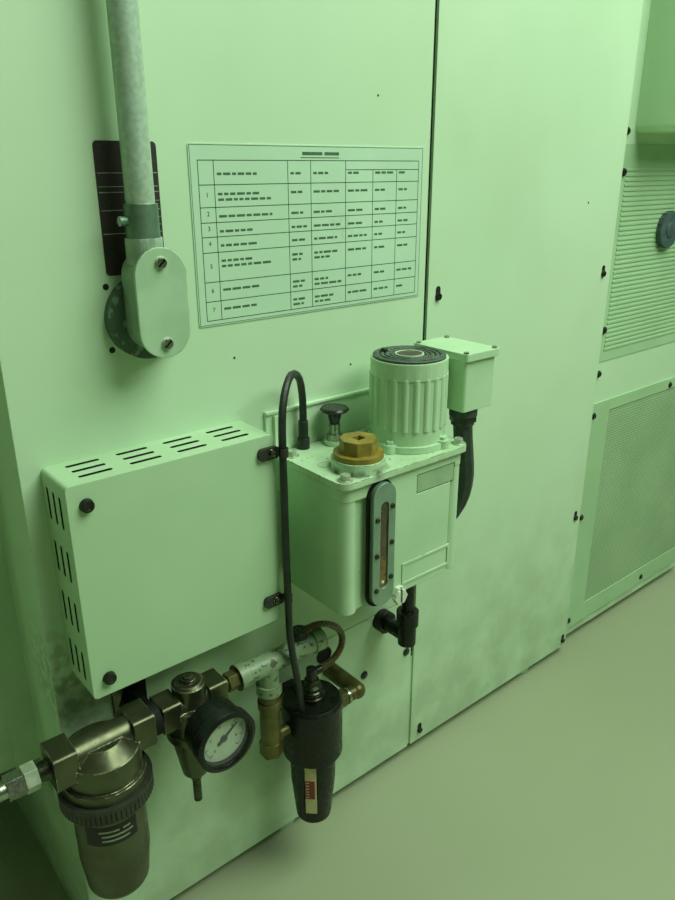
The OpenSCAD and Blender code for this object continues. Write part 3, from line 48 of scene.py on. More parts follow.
def facing(x_axis, y_axis, origin):
    """Turns millimetres on a flat face, with z out of it, into the frame's metres."""
    turn = Matrix((x_axis, y_axis, x_axis.cross(y_axis))).transposed().to_4x4()
    return Matrix.Translation(origin) @ turn @ Matrix.Scale(MM, 4)


X, Y, Z = Vector((1, 0, 0)), Vector((0, 1, 0)), Vector((0, 0, 1))
ON_WALL = Vector((WALL_X, U_ZERO, 0))
WALL = facing(Y, Z, ON_WALL)
FRONT = facing(X, Z, Vector())
UP = facing(X, Y, Vector())
# Seen from above: x towards the rear, y into the machine, z up
WALL_TOP = facing(Y, -X, ON_WALL)


def on_top(u, v, *w):
    """A place of the wall as a place seen from above."""
    return (u, -v, *w)


def raised(v, face=WALL, middle=(0, 0)):
    """A face moved out to a height, with its zero at a place on it."""
    return face @ Matrix.Translation((*middle, v))


def reach(node, face=WALL):
    """Lowest and highest corner of a CAD node, in a face's millimetres."""
    corners = [face.inverted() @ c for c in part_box(node)]
    return [Vector(map(f, *corners)) for f in (min, max)]


def middle_of(low, high):
    """The middle of two corners, seen straight on."""
    return (low.x + high.x) / 2, (low.y + high.y) / 2


# Camera, fitted to the photograph's edges: on the wall's side at eye height of a crouch
CAMERA_PLACE = Vector((1.5565, -0.520, 0.9324))
CAMERA_YAW = math.radians(39.555)
CAMERA_PITCH = math.radians(20.598)
CAMERA_ROLL = math.radians(-0.151)
CAMERA_SHIFT = -0.0013
FOCAL_PX = 748.2
PHOTO_H = 900
SENSOR = 36.0

camera = bpy.data.objects.new("camera", bpy.data.cameras.new("camera"))
bpy.context.scene.collection.objects.link(camera)
bpy.context.scene.camera = camera
bpy.context.scene.view_settings.view_transform = "Standard"
camera.data.sensor_width = SENSOR
camera.data.lens = FOCAL_PX * SENSOR / PHOTO_H
camera.data.shift_y = CAMERA_SHIFT
camera.data.clip_start = 0.01
sight = Vector((-math.cos(CAMERA_YAW) * math.cos(CAMERA_PITCH),
                math.sin(CAMERA_YAW) * math.cos(CAMERA_PITCH), -math.sin(CAMERA_PITCH)))
turn = sight.to_track_quat("-Z", "Y").to_matrix().to_4x4() @ Matrix.Rotation(CAMERA_ROLL, 4, "Z")
camera.matrix_world = Matrix.Translation(CAMERA_PLACE) @ turn


# Materials

def linear(code):
    """A hex colour code as linear colour with full alpha."""
    parts = [int(code[i:i + 2], 16) / 255 for i in (1, 3, 5)]
    return [p / 12.92 if p <= 0.04045 else ((p + 0.055) / 1.055) ** 2.4 for p in parts] + [1.0]


def add(tree, kind, inputs=None, **settings):
    """Adds a node with its settings, and feeds its inputs with values or with other nodes' outputs."""
    made = tree.nodes.new(kind)
    for name, value in settings.items():
        setattr(made, name, value)
    for name, value in (inputs or {}).items():
        if isinstance(value, bpy.types.NodeSocket):
            tree.links.new(value, made.inputs[name])
        else:
            made.inputs[name].default_value = value
    return made


FINISHES = {}


def new_material(name):
    """An empty material, kept under its name for the pieces."""
    finish = FINISHES[name] = bpy.data.materials.new(name)
    finish.use_nodes = True
    finish.node_tree.nodes.clear()
    return finish


def own_place(tree, stretch=None):
    """The point on the object in metres, stretched where that is asked for."""
    place = add(tree, "ShaderNodeTexCoord").outputs["Object"]
    return add(tree, "ShaderNodeMapping", {"Vector": place, "Scale": stretch}).outputs["Vector"] if stretch else place


def own_height(tree):
    """The point's height in metres."""
    return add(tree, "ShaderNodeSeparateXYZ", {"Vector": own_place(tree)}).outputs["Z"]


def ramp(tree, value, start, end, kind="SMOOTHSTEP"):
    """A value as a share: 0 at its start, 1 at its end."""
    ends = {"Value": value, "From Min": start, "From Max": end}
    return add(tree, "ShaderNodeMapRange", ends, interpolation_type=kind).outputs["Result"]


def times(tree, a, b, operation="MULTIPLY"):
    """Two values multiplied, or joined by another operation."""
    return add(tree, "ShaderNodeMath", {0: a, 1: b}, operation=operation).outputs["Value"]


def distance(tree, a, b):
    """How far two points lie apart."""
    return add(tree, "ShaderNodeVectorMath", {0: a, 1: b}, operation="DISTANCE").outputs["Value"]


def vector(tree, **parts):
    """A vector from its named parts, zero for the others."""
    return add(tree, "ShaderNodeCombineXYZ", parts).outputs["Vector"]


def blotches(tree, size, low, high, detail=4.0, stretch=(1, 1, 1)):
    """Soft-edged patches of a real size in millimetres, 0 to 1, on the object's own place."""
    noise = add(tree, "ShaderNodeTexNoise", {"Vector": own_place(tree, stretch), "Scale": 1 / (size * MM),
                                             "Detail": detail})
    return ramp(tree, noise.outputs["Fac"], low, high)


def over(tree, mask, under, colour):
    """Lays a colour over another where the mask is 1."""
    mixed = add(tree, "ShaderNodeMix", {"Factor": mask}, data_type="RGBA")
    for socket, value in (("A", under), ("B", colour)):
        at = [s for s in mixed.inputs if s.name == socket and s.type == "RGBA"][0]
        if isinstance(value, bpy.types.NodeSocket):
            tree.links.new(value, at)
        else:
            at.default_value = linear(value)
    return [s for s in mixed.outputs if s.type == "RGBA"][0]


def rounded_edge(tree, radius):
    """A normal that rounds sharp edges off, and a mask of where it does."""
    soft = add(tree, "ShaderNodeBevel", {"Radius": radius * MM}, samples=4).outputs["Normal"]
    true = add(tree, "ShaderNodeNewGeometry").outputs["True Normal"]
    same = add(tree, "ShaderNodeVectorMath", {0: soft, 1: true}, operation="DOT_PRODUCT").outputs["Value"]
    return soft, ramp(tree, same, 0.995, 0.90, "LINEAR")


def surface(tree, shader):
    """Ends a material's tree in a surface shader with these inputs."""
    body = add(tree, "ShaderNodeBsdfPrincipled", shader)
    add(tree, "ShaderNodeOutputMaterial", {"Surface": body.outputs["BSDF"]})


# Size and blur of the chips along worn edges
CHIP_SIZE, CHIP_BLUR = 9, 0.06


def coat(name, colour, shade, patch, rough, grain, edge=1.0, worn=None, dirt=(), **sockets):
    """A finish of two tones in patches, with grain, worn edges, laid dirt and some painted shade.

    patch and grain are sizes in millimetres, rough is the smoothest and the dullest roughness.
    worn is a colour and how much of the edges shows it. dirt is a list of masks with their colours; on the wall these
    hold painted shade as well as dirt.
    """
    finish = new_material(name)
    tree = finish.node_tree
    tone = over(tree, blotches(tree, patch, 0.35, 0.65), colour, shade)
    soft, at_edge = rounded_edge(tree, edge)
    if worn:
        bare, share = worn
        chips = times(tree, at_edge, blotches(tree, CHIP_SIZE, 1 - share, 1 - share + CHIP_BLUR, 8.0))
        tone = over(tree, chips, tone, bare)
    for mask, laid_colour in dirt:
        tone = over(tree, mask(tree), tone, laid_colour)
    dull = add(tree, "ShaderNodeMapRange", {"Value": blotches(tree, patch / 5, 0.3, 0.7), "To Min": rough[0],
                                            "To Max": rough[1]}).outputs["Result"]
    peel = add(tree, "ShaderNodeTexNoise", {"Vector": own_place(tree), "Scale": 1 / (grain[0] * MM), "Detail": 3.0})
    bump = add(tree, "ShaderNodeBump", {"Height": peel.outputs["Fac"], "Distance": grain[1] * MM, "Strength": 0.6,
                                        "Normal": soft})
    surface(tree, {"Base Color": tone, "Roughness": dull, "Normal": bump.outputs["Normal"], **sockets})
    return finish


# Dirt, with painted shade in two of them: each of these gives, for a coat's list, a function that draws its mask in a
# tree, and its colour

def film(size, low, high, share, laid_colour, stretch=(1, 1, 1)):
    """Dirt in thin patches all over."""
    return (lambda tree: times(tree, blotches(tree, size, low, high, 6.0, stretch), share)), laid_colour


def stain(u, w, radius, share, laid_colour, size=14):
    """Dark patches round one spot: dirt, and under the vent box painted shade as well."""
    def mask(tree):
        close = ramp(tree, distance(tree, own_place(tree), WALL @ Vector((u, w, 0))), radius * MM, 0.0)
        return times(tree, times(tree, close, blotches(tree, size, 0.38, 0.62, 6.0)), share)
    return mask, laid_colour


def ring_of_dirt(u, w, v, radius, share, laid_colour):
    """Caked dirt where a round boss stands on the level face under it."""
    squash = Vector((1, 1, 2.2))

    def mask(tree):
        away = distance(tree, own_place(tree, squash), (WALL @ Vector((u, w, v))) * squash)
        caked = ramp(tree, away, (radius + 6) * MM, (radius + 1) * MM, "LINEAR")
        return times(tree, times(tree, caked, blotches(tree, 16, 0.36, 0.62, 3.0)), share)
    return mask, laid_colour


def low_down(top, share, laid_colour):
    """Dust and painted shade that thicken towards the floor from a height in millimetres."""
    def mask(tree):
        fade = ramp(tree, own_height(tree), top * MM, 0.0)
        return times(tree, times(tree, fade, blotches(tree, 60, 0.25, 0.7, 6.0)), share)
    return mask, laid_colour


cap_spot = sum(reach("filler_cap"), Vector()) / 2
head_low, head_high = reach("filter_head")
lid_high = reach("lube_lid")[1]

# Oven-cured enamel on sheet steel: satin with faint orange peel, darker towards the floor with dust and painted shade,
# and oily behind the units, with painted shade in the dark patch under the vent box
coat("sheet_enamel", "#c6e6bf", "#bfe2b8", 420, (0.34, 0.48), (1.6, 0.05), worn=("#8fae86", 0.42),
     dirt=[low_down(520, 0.42, "#7f9466"), film(240, 0.55, 0.8, 0.25, "#b3cfa4"),
           stain(head_low.x + 60, head_high.y + 14, 110, 0.6, "#56643a"),
           stain(head_high.x + 6, head_low.y - 20, 75, 0.4, "#7f7d4e")])
# Brushed enamel on iron castings: glossier and lumpier, chipped to dark primer along its edges
coat("cast_enamel", "#b8dcb0", "#b0d6a8", 90, (0.28, 0.42), (3.0, 0.16), 1.2, ("#3c4b38", 0.36),
     dirt=[film(70, 0.6, 0.85, 0.2, "#9dbf90"), film(5, 0.72, 0.74, 0.5, "#5a6b50")])
# The louvred box's enamel: the same satin as the wall, in a slightly duller green
coat("box_enamel", "#b4d8ab", "#acd2a3", 260, (0.36, 0.50), (1.6, 0.05), worn=("#86a67c", 0.42),
     dirt=[film(120, 0.55, 0.8, 0.25, "#9dbf8e")])
# The same enamel on the tank's lid, with caked oil and dust round the filler
coat("lid_enamel", "#b8dcb0", "#acd0a1", 45, (0.30, 0.50), (3.0, 0.16), 1.6, ("#2b382a", 0.56),
     dirt=[film(30, 0.50, 0.75, 0.4, "#98b088"), film(5, 0.66, 0.69, 0.7, "#3f4d38"),
           ring_of_dirt(cap_spot.x, lid_high.y - 13, cap_spot.z, 31, 0.8, "#38422b")])
# Hot-dip galvanised steel: grey zinc with pale spangle and a soft shine
coat("galvanised_steel", "#b0cdb2", "#9fbda3", 5, (0.34, 0.46), (1.5, 0.03), Metallic=0.15,
     dirt=[film(1.6, 0.5, 0.66, 0.35, "#b4d0b0"), film(90, 0.5, 0.8, 0.25, "#8d9a6c")])
# Die-cast aluminium left raw: grey, grainy and spattered with wall paint
coat("cast_aluminium", "#9dba9a", "#8aa88a", 24, (0.42, 0.58), (1.4, 0.12), Metallic=0.2,
     dirt=[film(40, 0.5, 0.8, 0.3, "#5f7c62")])
# The same metal on the wall hub, dark with old sealant and spattered with wall paint
coat("hub_aluminium", "#4d6851", "#415a46", 18, (0.42, 0.6), (1.6, 0.12), Metallic=0.2,
     dirt=[film(9, 0.56, 0.64, 0.55, "#93b296")])
# Zinc die-cast connector: darker and greener than the pipe, with a dull skin
coat("zinc_casting", "#6f8f76", "#5f7e66", 14, (0.38, 0.52), (1.2, 0.05), 0.8, ("#9dbd9a", 0.55), Metallic=0.4)
# Anodised frame of the oil window: grey-green and even, its rim rubbed bright
coat("anodised_frame", "#86a48c", "#7a9881", 40, (0.32, 0.44), (1.2, 0.02), 1.2, ("#b5d2b0", 0.60), Metallic=0.35)
# Stamped aluminium cover under thin paint: smooth, rubbed pale on its rim
coat("stamped_cover", "#abd0a8", "#9fc59c", 40, (0.35, 0.5), (2.5, 0.05), 2.0, ("#d2ebcd", 0.60),
     dirt=[film(24, 0.56, 0.76, 0.2, "#8aae87")])
# Zinc die castings in champagne lacquer: metallic, darkened by oil in the hollows
coat("champagne_lacquer", "#5f654a", "#50563d", 60, (0.27, 0.40), (1.2, 0.05), 1.4, ("#b9c2a0", 0.56), Metallic=0.75,
     dirt=[film(50, 0.45, 0.8, 0.45, "#3a4029"), film(4, 0.70, 0.73, 0.6, "#272b1d")])
# Glass-filled nylon: black with a grey bloom of dust
coat("filled_nylon", "#23281d", "#2e3428", 22, (0.40, 0.56), (0.9, 0.05), 0.5, ("#5d6551", 0.42))
# Black stoved enamel: deep and half glossy, greasy in patches
coat("black_enamel", "#0e140d", "#151b13", 35, (0.24, 0.46), (1.5, 0.05), 1.2, ("#333a2e", 0.44),
     dirt=[film(30, 0.6, 0.85, 0.35, "#20271a")], **{"Specular IOR Level": 0.35})
# Moulded knob of the grille: black faded to blue-grey by light and coolant
coat("faded_plastic", "#4b6360", "#405653", 16, (0.40, 0.55), (1.0, 0.03), 0.8, ("#7d938c", 0.42))
# Moulded phenolic knobs: black, nearly glossy
coat("phenolic", "#161b15", "#20261e", 16, (0.22, 0.40), (1.0, 0.03), 0.8, ("#5a6458", 0.42))
# PVC cable sheath: black and dull with finger grease
coat("cable_sheath", "#18221a", "#202b22", 18, (0.36, 0.55), (1.2, 0.04))
# Woven-look flexible sleeve: dark green-grey and matt
coat("flexible_sleeve", "#35473a", "#2a3a30", 26, (0.5, 0.7), (1.1, 0.2))
# Nylon oil hose: brown and slightly see-through, so it glows a little
coat("oil_hose", "#5c4a20", "#4a401c", 20, (0.22, 0.34), (2.0, 0.02),
     **{"Subsurface Weight": 0.15, "Subsurface Radius": (0.006, 0.003, 0.001)})
# Turned free-cutting steel with thin zinc: bright, with soft wear
coat("turned_steel", "#a9b3a0", "#98a28f", 16, (0.22, 0.32), (0.8, 0.01), 0.6, Metallic=0.95,
     dirt=[film(22, 0.55, 0.8, 0.35, "#5d664c")])
# Zinc-plated bolts and nuts: pale, dulled by oil
coat("zinc_plate", "#c0d2b3", "#a9bb9d", 9, (0.28, 0.42), (0.8, 0.02), 0.6, Metallic=0.45,
     dirt=[film(8, 0.58, 0.75, 0.4, "#6f7f60")])
# Blackened screws: dark oxide with oil
coat("black_oxide", "#23291f", "#32392c", 6, (0.3, 0.5), (0.7, 0.02), 0.5, Metallic=0.6)
# Nickelled brass knob, tarnished: dark and shiny
coat("dark_metal", "#4d5442", "#3a4032", 9, (0.2, 0.36), (0.8, 0.02), 0.8, ("#a3ab90", 0.5), Metallic=0.9)
# Ground cast iron: grey, with the fine sheen of a machined way
coat("ground_iron", "#9aa09a", "#868c86", 70, (0.24, 0.38), (0.9, 0.015), 1.0, Metallic=0.9)
# Painted machine castings inside the guard: pale grey-green and lumpy, their edges rubbed darker
coat("casting_paint", "#b9cdb2", "#a9bfa3", 220, (0.36, 0.52), (4.0, 0.25), 3.0, ("#6f7f6a", 0.40))
# Charcoal enamel of motor housings: dark, satin and lumpy
coat("charcoal_enamel", "#30352f", "#3b413a", 60, (0.35, 0.5), (2.5, 0.12), 1.5)
# Grey enamel on fabricated steel: even and satin
coat("grey_enamel", "#8c968a", "#7e887d", 90, (0.34, 0.48), (1.8, 0.06), 1.2)
# Cast brass, long oxidised: olive-brown with a dull shine, brighter along its edges
coat("dull_brass", "#6b6a3c", "#55552f", 24, (0.34, 0.5), (1.4, 0.04), 0.8, ("#98925a", 0.5), Metallic=0.6,
     dirt=[film(30, 0.5, 0.8, 0.45, "#3a3a20")])
# Enamel of the tee: mid green, rubbed and chipped in dark flakes
coat("chipped_enamel", "#88a37b", "#7a956d", 30, (0.32, 0.46), (2.0, 0.08), 1.6, ("#39402c", 0.58),
     dirt=[film(7, 0.62, 0.64, 0.85, "#414831"), film(16, 0.60, 0.62, 0.85, "#4a4f36", (1, 1, 2.2)),
           film(30, 0.45, 0.75, 0.4, "#7c8a5e")])
# Aluminium plate under clear lacquer: dull grey-green, a shade apart from the tank
coat("tank_plate", "#9cbe93", "#91b388", 30, (0.4, 0.55), (1.4, 0.02), 0.5)
# Grooved top of the motor: dark iron, its ridges rubbed pale and dusted
coat("motor_plate", "#35453a", "#28352c", 30, (0.4, 0.56), (1.5, 0.05), 1.2, ("#8fab90", 0.60),
     dirt=[film(7, 0.55, 0.7, 0.35, "#7b977c")])
# Yellow acetal filler cap: matt, browned by oil in its corners
coat("acetal_cap", "#938531", "#7d7129", 14, (0.36, 0.52), (1.4, 0.06), 1.2, ("#77601c", 0.50),
     dirt=[film(12, 0.52, 0.70, 0.5, "#665520"), film(3.5, 0.68, 0.72, 0.7, "#453b15")])
# Enamel of the air panels: a darker green than the wall, and more matt
coat("panel_enamel", "#a8d0a0", "#9ec796", 200, (0.40, 0.55), (1.6, 0.06), 0.8)
# Moulded drain plug: white, satin, a little grimy
coat("moulded_plug", "#d9ebd0", "#c4d8ba", 10, (0.35, 0.5), (1.2, 0.03), 0.7)
# Moulded plastic of the stop button, red and glossy, and of its collar, yellow and duller
coat("red_cap", "#b3211c", "#a01c18", 20, (0.25, 0.35), (1.5, 0.01))
coat("yellow_plate", "#d8b52c", "#cca927", 20, (0.35, 0.45), (1.5, 0.01))
# Key caps and bezels: pale grey matt plastic
coat("key_plastic", "#b9c0b4", "#aeb5a9", 30, (0.45, 0.6), (0.8, 0.03), 0.8)
# Glass of the screen: nearly black, with a sharp shine
coat("dark_glass", "#10191a", "#131d1e", 80, (0.08, 0.14), (3.0, 0.003))
# Neoprene seals: black and dead matt
coat("neoprene", "#141812", "#1c2119", 30, (0.6, 0.75), (1.2, 0.04), **{"Specular IOR Level": 0.15})
# Printed aluminium sheet of the chart: paler and smoother than the wall, slightly grimy
coat("printed_sheet", "#c0e6c4", "#b9dfbc", 150, (0.36, 0.46), (1.5, 0.01),
     dirt=[stain(585, 868, 26, 0.35, "#8fae88", 8), film(50, 0.6, 0.8, 0.2, "#9cc298")])
# Inks of the chart: flat dark green rules and figures, and paler green strokes
INK = (0.5, 0.6), (1.0, 0.005), 0.05
coat("printing_ink", "#223c29", "#28432f", 12, *INK)
coat("faded_ink", "#3f6344", "#4a6f4e", 7, *INK)
# Old lacquered plate behind the conduit: dark brown, scratched
coat("dark_plate", "#23251d", "#2d241f", 16, (0.5, 0.7), (1.0, 0.03), 0.6,
     dirt=[film(22, 0.55, 0.62, 0.4, "#3a2d29", (1, 6, 1))])
# Printed lines on dark plates: flat and pale
coat("pale_ink", "#94a586", "#7d8d70", 9, *INK)
# Paper label on the lubricator: yellowed by oil
coat("label_paper", "#d9d2a0", "#c3bc8b", 14, (0.5, 0.65), (1.2, 0.01), 0.05)
# Card dial behind the gauge's glass: pale, flat, faintly mottled
coat("dial_card", "#bcd2b0", "#aec5a2", 22, (0.5, 0.6), (1.5, 0.01))
# Print on dials and labels: flat black, and a faded red
coat("black_print", "#0e120e", "#131712", 12, *INK)
coat("red_print", "#8a2f22", "#7a2a1f", 8, (0.4, 0.5), (1.0, 0.005), 0.05)
# Painted shade in holes, slots and the vent box's inside, also worn by the wall's dark specks: black and dead matt
coat("hole_shade_and_specks", "#10130f", "#161a14", 12, (0.7, 0.9), (1.5, 0.02), 0.05)
# Dish in the motor's top: rusty brown and matt
coat("motor_dish", "#4d3c33", "#5c4a3e", 9, (0.5, 0.7), (1.5, 0.05), 0.5)


def oil_window_finish():
    """Oil behind a clear strip: brown above, amber where the light comes through the level."""
    tree = new_material("oil_in_window").node_tree
    level, blur = reach("sight_gauge")[0].y + 62, 4
    lit = ramp(tree, own_height(tree), (level + blur) * MM, (level - blur) * MM, "LINEAR")
    tone = over(tree, lit, "#4a3424", "#8c6a24")
    tone = over(tree, blotches(tree, 9, 0.5, 0.7), tone, "#39301f")
    surface(tree, {"Base Color": tone, "Roughness": 0.12, "Coat Weight": 0.6})


def clear_finish(name, colour, rough, veil=0.12):
    """Thin clear glass or acrylic: all but see-through under a faint veil, with the gloss of its face."""
    tree = new_material(name).node_tree
    surface(tree, {"Base Color": linear(colour), "Roughness": rough, "Alpha": veil, "IOR": 1.5})


def perforated_finish():
    """Perforated filter sheet: 3 mm holes on a 5.5 mm grid, drawn as dots of painted shade with sunk rims."""
    tree = new_material("perforated_sheet").node_tree
    pitch = 5.5
    dots = add(tree, "ShaderNodeTexVoronoi", {"Vector": own_place(tree, (0, 1, 1)), "Scale": 1 / (pitch * MM),
                                              "Randomness": 0.0})
    hole = ramp(tree, dots.outputs["Distance"], 0.36, 0.26, "LINEAR")
    tone = over(tree, blotches(tree, 160, 0.35, 0.7), "#a6ca9c", "#98bd8e")
    # Painted shade: each hole is a dark dot
    tone = over(tree, times(tree, hole, 0.75), tone, "#5f7d58")
    bump = add(tree, "ShaderNodeBump", {"Height": hole, "Distance": 0.0006, "Strength": 0.5}, invert=True)
    surface(tree, {"Base Color": tone, "Roughness": 0.55, "Normal": bump.outputs["Normal"]})


oil_window_finish()
clear_finish("gauge_glass", "#dff0e0", 0.04, 0.05)
clear_finish("sight_glass", "#4d5a44", 0.06)
clear_finish("window_pane", "#cfe2d6", 0.03)
perforated_finish()

# The CAD nodes that wear each finish
WEARERS = {
    "casting_paint": "machine_bed column spindle_head",
    "turned_steel": "levelling_feet spindle x_ball_screw y_ball_screw z_ball_screw pump_barrel air_inlet",
    "sheet_enamel": "base_frame splash_guard guard_door front_side_panel rear_side_panel electrical_cabinet "
                    "cabinet_door lube_bracket",
    "charcoal_enamel": "axis_motors x_axis_motor spindle_motor",
    "grey_enamel": "coolant_tank magazine_carriage tool_magazine pendant_arm control_panel cabinet_devices",
    "ground_iron": "saddle table",
    "window_pane": "door_window",
    "red_cap": "emergency_stop",
    "phenolic": "handwheel pump_knob",
    "panel_enamel": "cabinet_vents",
    "galvanised_steel": "conduit",
    "cast_aluminium": "conduit_body",
    "stamped_cover": "conduit_cover",
    "box_enamel": "vent_box",
    "cast_enamel": "lube_tank pump_motor junction_box",
    "lid_enamel": "lube_lid",
    "anodised_frame": "sight_gauge",
    "acetal_cap": "filler_cap",
    "flexible_sleeve": "motor_conduit",
    "cable_sheath": "level_cable",
    "black_enamel": "lube_outlet pressure_gauge lubricator_head lubricator_bowl",
    "champagne_lacquer": "filter_head filter_bowl regulator",
    "filled_nylon": "filter_ring",
    "dark_metal": "adjusting_screw",
    "black_print": "gauge_pointer",
    "chipped_enamel": "air_tee",
    "dull_brass": "brass_valve lubricator_elbow",
    "oil_hose": "lubricator_hose",
}

# Curved CAD faces shade smoothly up to this angle between them
SMOOTH_ANGLE = math.radians(32)

for finish, names in WEARERS.items():
    for node in (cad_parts[name] for name in names.split()):
        node.data.materials.clear()
        node.data.materials.append(FINISHES[finish])
        for face in node.data.polygons:
            face.use_smooth = True
            face.material_index = 0
        node.modifiers.new("seams", "WELD").merge_threshold = 0.00002
        node.modifiers.new("edges", "EDGE_SPLIT").split_angle = SMOOTH_ANGLE


def dress(name, finish, chosen, face=WALL):
    """Gives a second finish to the faces of a CAD node whose middle, in a face's millimetres, is chosen."""
    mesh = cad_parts[name].data
    mesh.materials.append(FINISHES[finish])
    inverse = face.inverted()
    for polygon in mesh.polygons:
        if chosen(inverse @ polygon.center):
            polygon.material_index = len(mesh.materials) - 1


vent_low, vent_high = reach("vent_box")
motor_top = reach("pump_motor")[1].y
covers_low, covers_high = reach("cabinet_vents")
tank_low, tank_high = reach("lube_tank")
conduit_end = reach("conduit")[0].y
panel_low, panel_high = reach("control_panel", FRONT)
# Where second finishes begin and end: depths under an outermost face first, then places on the wall
VENT_SCREW_HEAD, MOTOR_GROOVES, PLUG_HEAD, KEY_HEIGHT = 3.99, 2.9, 4.9, 6
FILTER_H, FILTER_FACE = 486, 3.2
RIM_LEFT, RIM_RIGHT, RIM_LOW, RIM_HIGH = 67, 40, 42, 22
HEAD_SEAL_LENGTH, HEAD_SEAL_V, HEAD_SPACER_U = 30, 41, 260.2
TEE_NIPPLE_U = reach("air_tee")[0].x + 21.9
DRIP_KNOB_W = 285.1
HOSE_NUT_U, HOSE_NUT_W, HOSE_END_U, HOSE_END_W = 478, 340, 500, 331
CONNECTOR_H, SET_SCREW_H, SET_SCREW_U = 30.5, 22, 301
INLET_COLLAR_U = reach("air_inlet")[1].x - 23.1
OUTLET_NECK_W, HUB_V, HUB_W = 866, 13, 830
KEYS_TOP, POT_RIM = 1330, 1230
BOX_CORNER, BOX_SHEET, BOX_SKIN, BOX_BACK, BOX_SCREW_FACE = 5, 0.9, 0.05, 0.5, 4.9

dress("vent_box", "black_oxide", lambda p: p.z > vent_high.z - VENT_SCREW_HEAD)
dress("pump_motor", "motor_plate", lambda p: p.y > motor_top - MOTOR_GROOVES)
dress("filter_head", "neoprene",
      lambda p: p.x > head_high.x - HEAD_SEAL_LENGTH and p.z < HEAD_SEAL_V or p.x > HEAD_SPACER_U)
dress("cabinet_vents", "perforated_sheet", lambda p: covers_low.x + RIM_LEFT < p.x < covers_high.x - RIM_RIGHT
      and covers_low.y + RIM_LOW < p.y < covers_low.y + FILTER_H - RIM_HIGH)
dress("cabinet_vents", "faded_plastic", lambda p: p.z > covers_low.z + FILTER_FACE)


def in_the_dark(p):
    """Whether a point lies inside the vent box or in the walls of its slots, not on its outer skin; these faces take
    painted shade.
    """
    across = min(p.x - vent_low.x, vent_high.x - p.x)
    upright = min(p.y - vent_low.y, vent_high.y - p.y)
    in_corner = max(across, upright) < BOX_CORNER
    if in_corner and math.hypot(BOX_CORNER - across, BOX_CORNER - upright) > BOX_CORNER - BOX_SHEET:
        return False
    return min(across, upright) > BOX_SKIN and BOX_BACK < p.z < vent_high.z - BOX_SCREW_FACE


# Painted shade: the vent box's inside and its slots' walls are coloured black
dress("vent_box", "hole_shade_and_specks", in_the_dark)
dress("air_tee", "dull_brass", lambda p: p.x < TEE_NIPPLE_U)
dress("lube_tank", "moulded_plug", lambda p: p.z > tank_high.z - PLUG_HEAD)
dress("lubricator_head", "dark_metal", lambda p: p.y > DRIP_KNOB_W)
dress("lubricator_hose", "phenolic",
      lambda p: p.x < HOSE_NUT_U and p.y > HOSE_NUT_W or p.x < HOSE_END_U and p.y < HOSE_END_W)
dress("conduit", "zinc_casting", lambda p: p.y < conduit_end + CONNECTOR_H)
dress("conduit", "turned_steel", lambda p: p.y < conduit_end + SET_SCREW_H and p.x < SET_SCREW_U)
dress("air_inlet", "dark_metal", lambda p: p.x > INLET_COLLAR_U)
dress("conduit_body", "galvanised_steel", lambda p: p.y > OUTLET_NECK_W)
dress("conduit_body", "hub_aluminium", lambda p: p.z < HUB_V and p.y < HUB_W)
dress("control_panel", "key_plastic", lambda p: p.z > panel_high.z - KEY_HEIGHT and p.y < KEYS_TOP, FRONT)
dress("tool_magazine", "turned_steel", lambda p: p.z > POT_RIM, UP)


# Mesh helpers: closed shapes in millimetres on a face

def slab(bm, low, high):
    """A box from its two corners."""
    xs, ys, zs = zip(low, high)
    corners = [bm.verts.new((x, y, z)) for z in zs for y in ys for x in xs]
    for quad in ((0, 2, 3, 1), (4, 5, 7, 6), (0, 1, 5, 4), (2, 6, 7, 3), (0, 4, 6, 2), (1, 3, 7, 5)):
        bm.faces.new([corners[i] for i in quad])


def prism(bm, outline, z0, z1):
    """An outline of points, made thick from z0 to z1."""
    low = [bm.verts.new((x, y, z0)) for x, y in outline]
    high = [bm.verts.new((x, y, z1)) for x, y in outline]
    bm.faces.new(low[::-1])
    bm.faces.new(high)
    for i in range(len(outline)):
        j = (i + 1) % len(outline)
        bm.faces.new((low[i], low[j], high[j], high[i]))


def turned(bm, profile, middle=(0, 0), steps=48):
    """A turned shape: its profile of (radius, z) goes round an axis through the middle, closed at radius 0."""
    rings = []
    for radius, z in profile:
        if radius == 0:
            rings.append([bm.verts.new((*middle, z))] * steps)
            continue
        angles = [2 * math.pi * k / steps for k in range(steps)]
        rings.append([bm.verts.new((middle[0] + radius * math.cos(a), middle[1] + radius * math.sin(a), z))
                      for a in angles])
    for lower, upper in zip(rings, rings[1:]):
        for k in range(steps):
            n = (k + 1) % steps
            corners = list(dict.fromkeys((lower[k], lower[n], upper[n], upper[k])))
            if len(corners) > 2:
                bm.faces.new(corners)


def disc(radius, z0, z1, chamfer=0.0):
    """Profile of a flat round piece, for turned."""
    return [(0, z0), (radius, z0), (radius, z1 - chamfer), (radius - chamfer, z1), (0, z1)]


def ring(inner, outer, z0, z1):
    """Profile of a flat ring, for turned, closed on itself."""
    return [(inner, z0), (outer, z0), (outer, z1), (inner, z1), (inner, z0)]


def rounded(width, height, radius, middle=(0, 0), steps=6):
    """Outline of a rectangle with round corners."""
    points = []
    for corner in range(4):
        sx, sy = ((1, 1), (-1, 1), (-1, -1), (1, -1))[corner]
        for k in range(steps + 1):
            a = math.pi / 2 * (corner + k / steps)
            points.append((middle[0] + sx * (width / 2 - radius) + radius * math.cos(a),
                           middle[1] + sy * (height / 2 - radius) + radius * math.sin(a)))
    return points


def settle(name, mesh, face, finish, body):
    """Puts a mesh made in a face's millimetres into the frame, and lets it ride."""
    mesh.transform(face)
    mesh.materials.clear()
    mesh.materials.append(FINISHES[finish])
    mesh.shade_smooth()
    mesh.set_sharp_from_angle(angle=SMOOTH_ANGLE)
    piece = bpy.data.objects.new(name, mesh)
    bpy.context.scene.collection.objects.link(piece)
    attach(piece, body)
    return piece


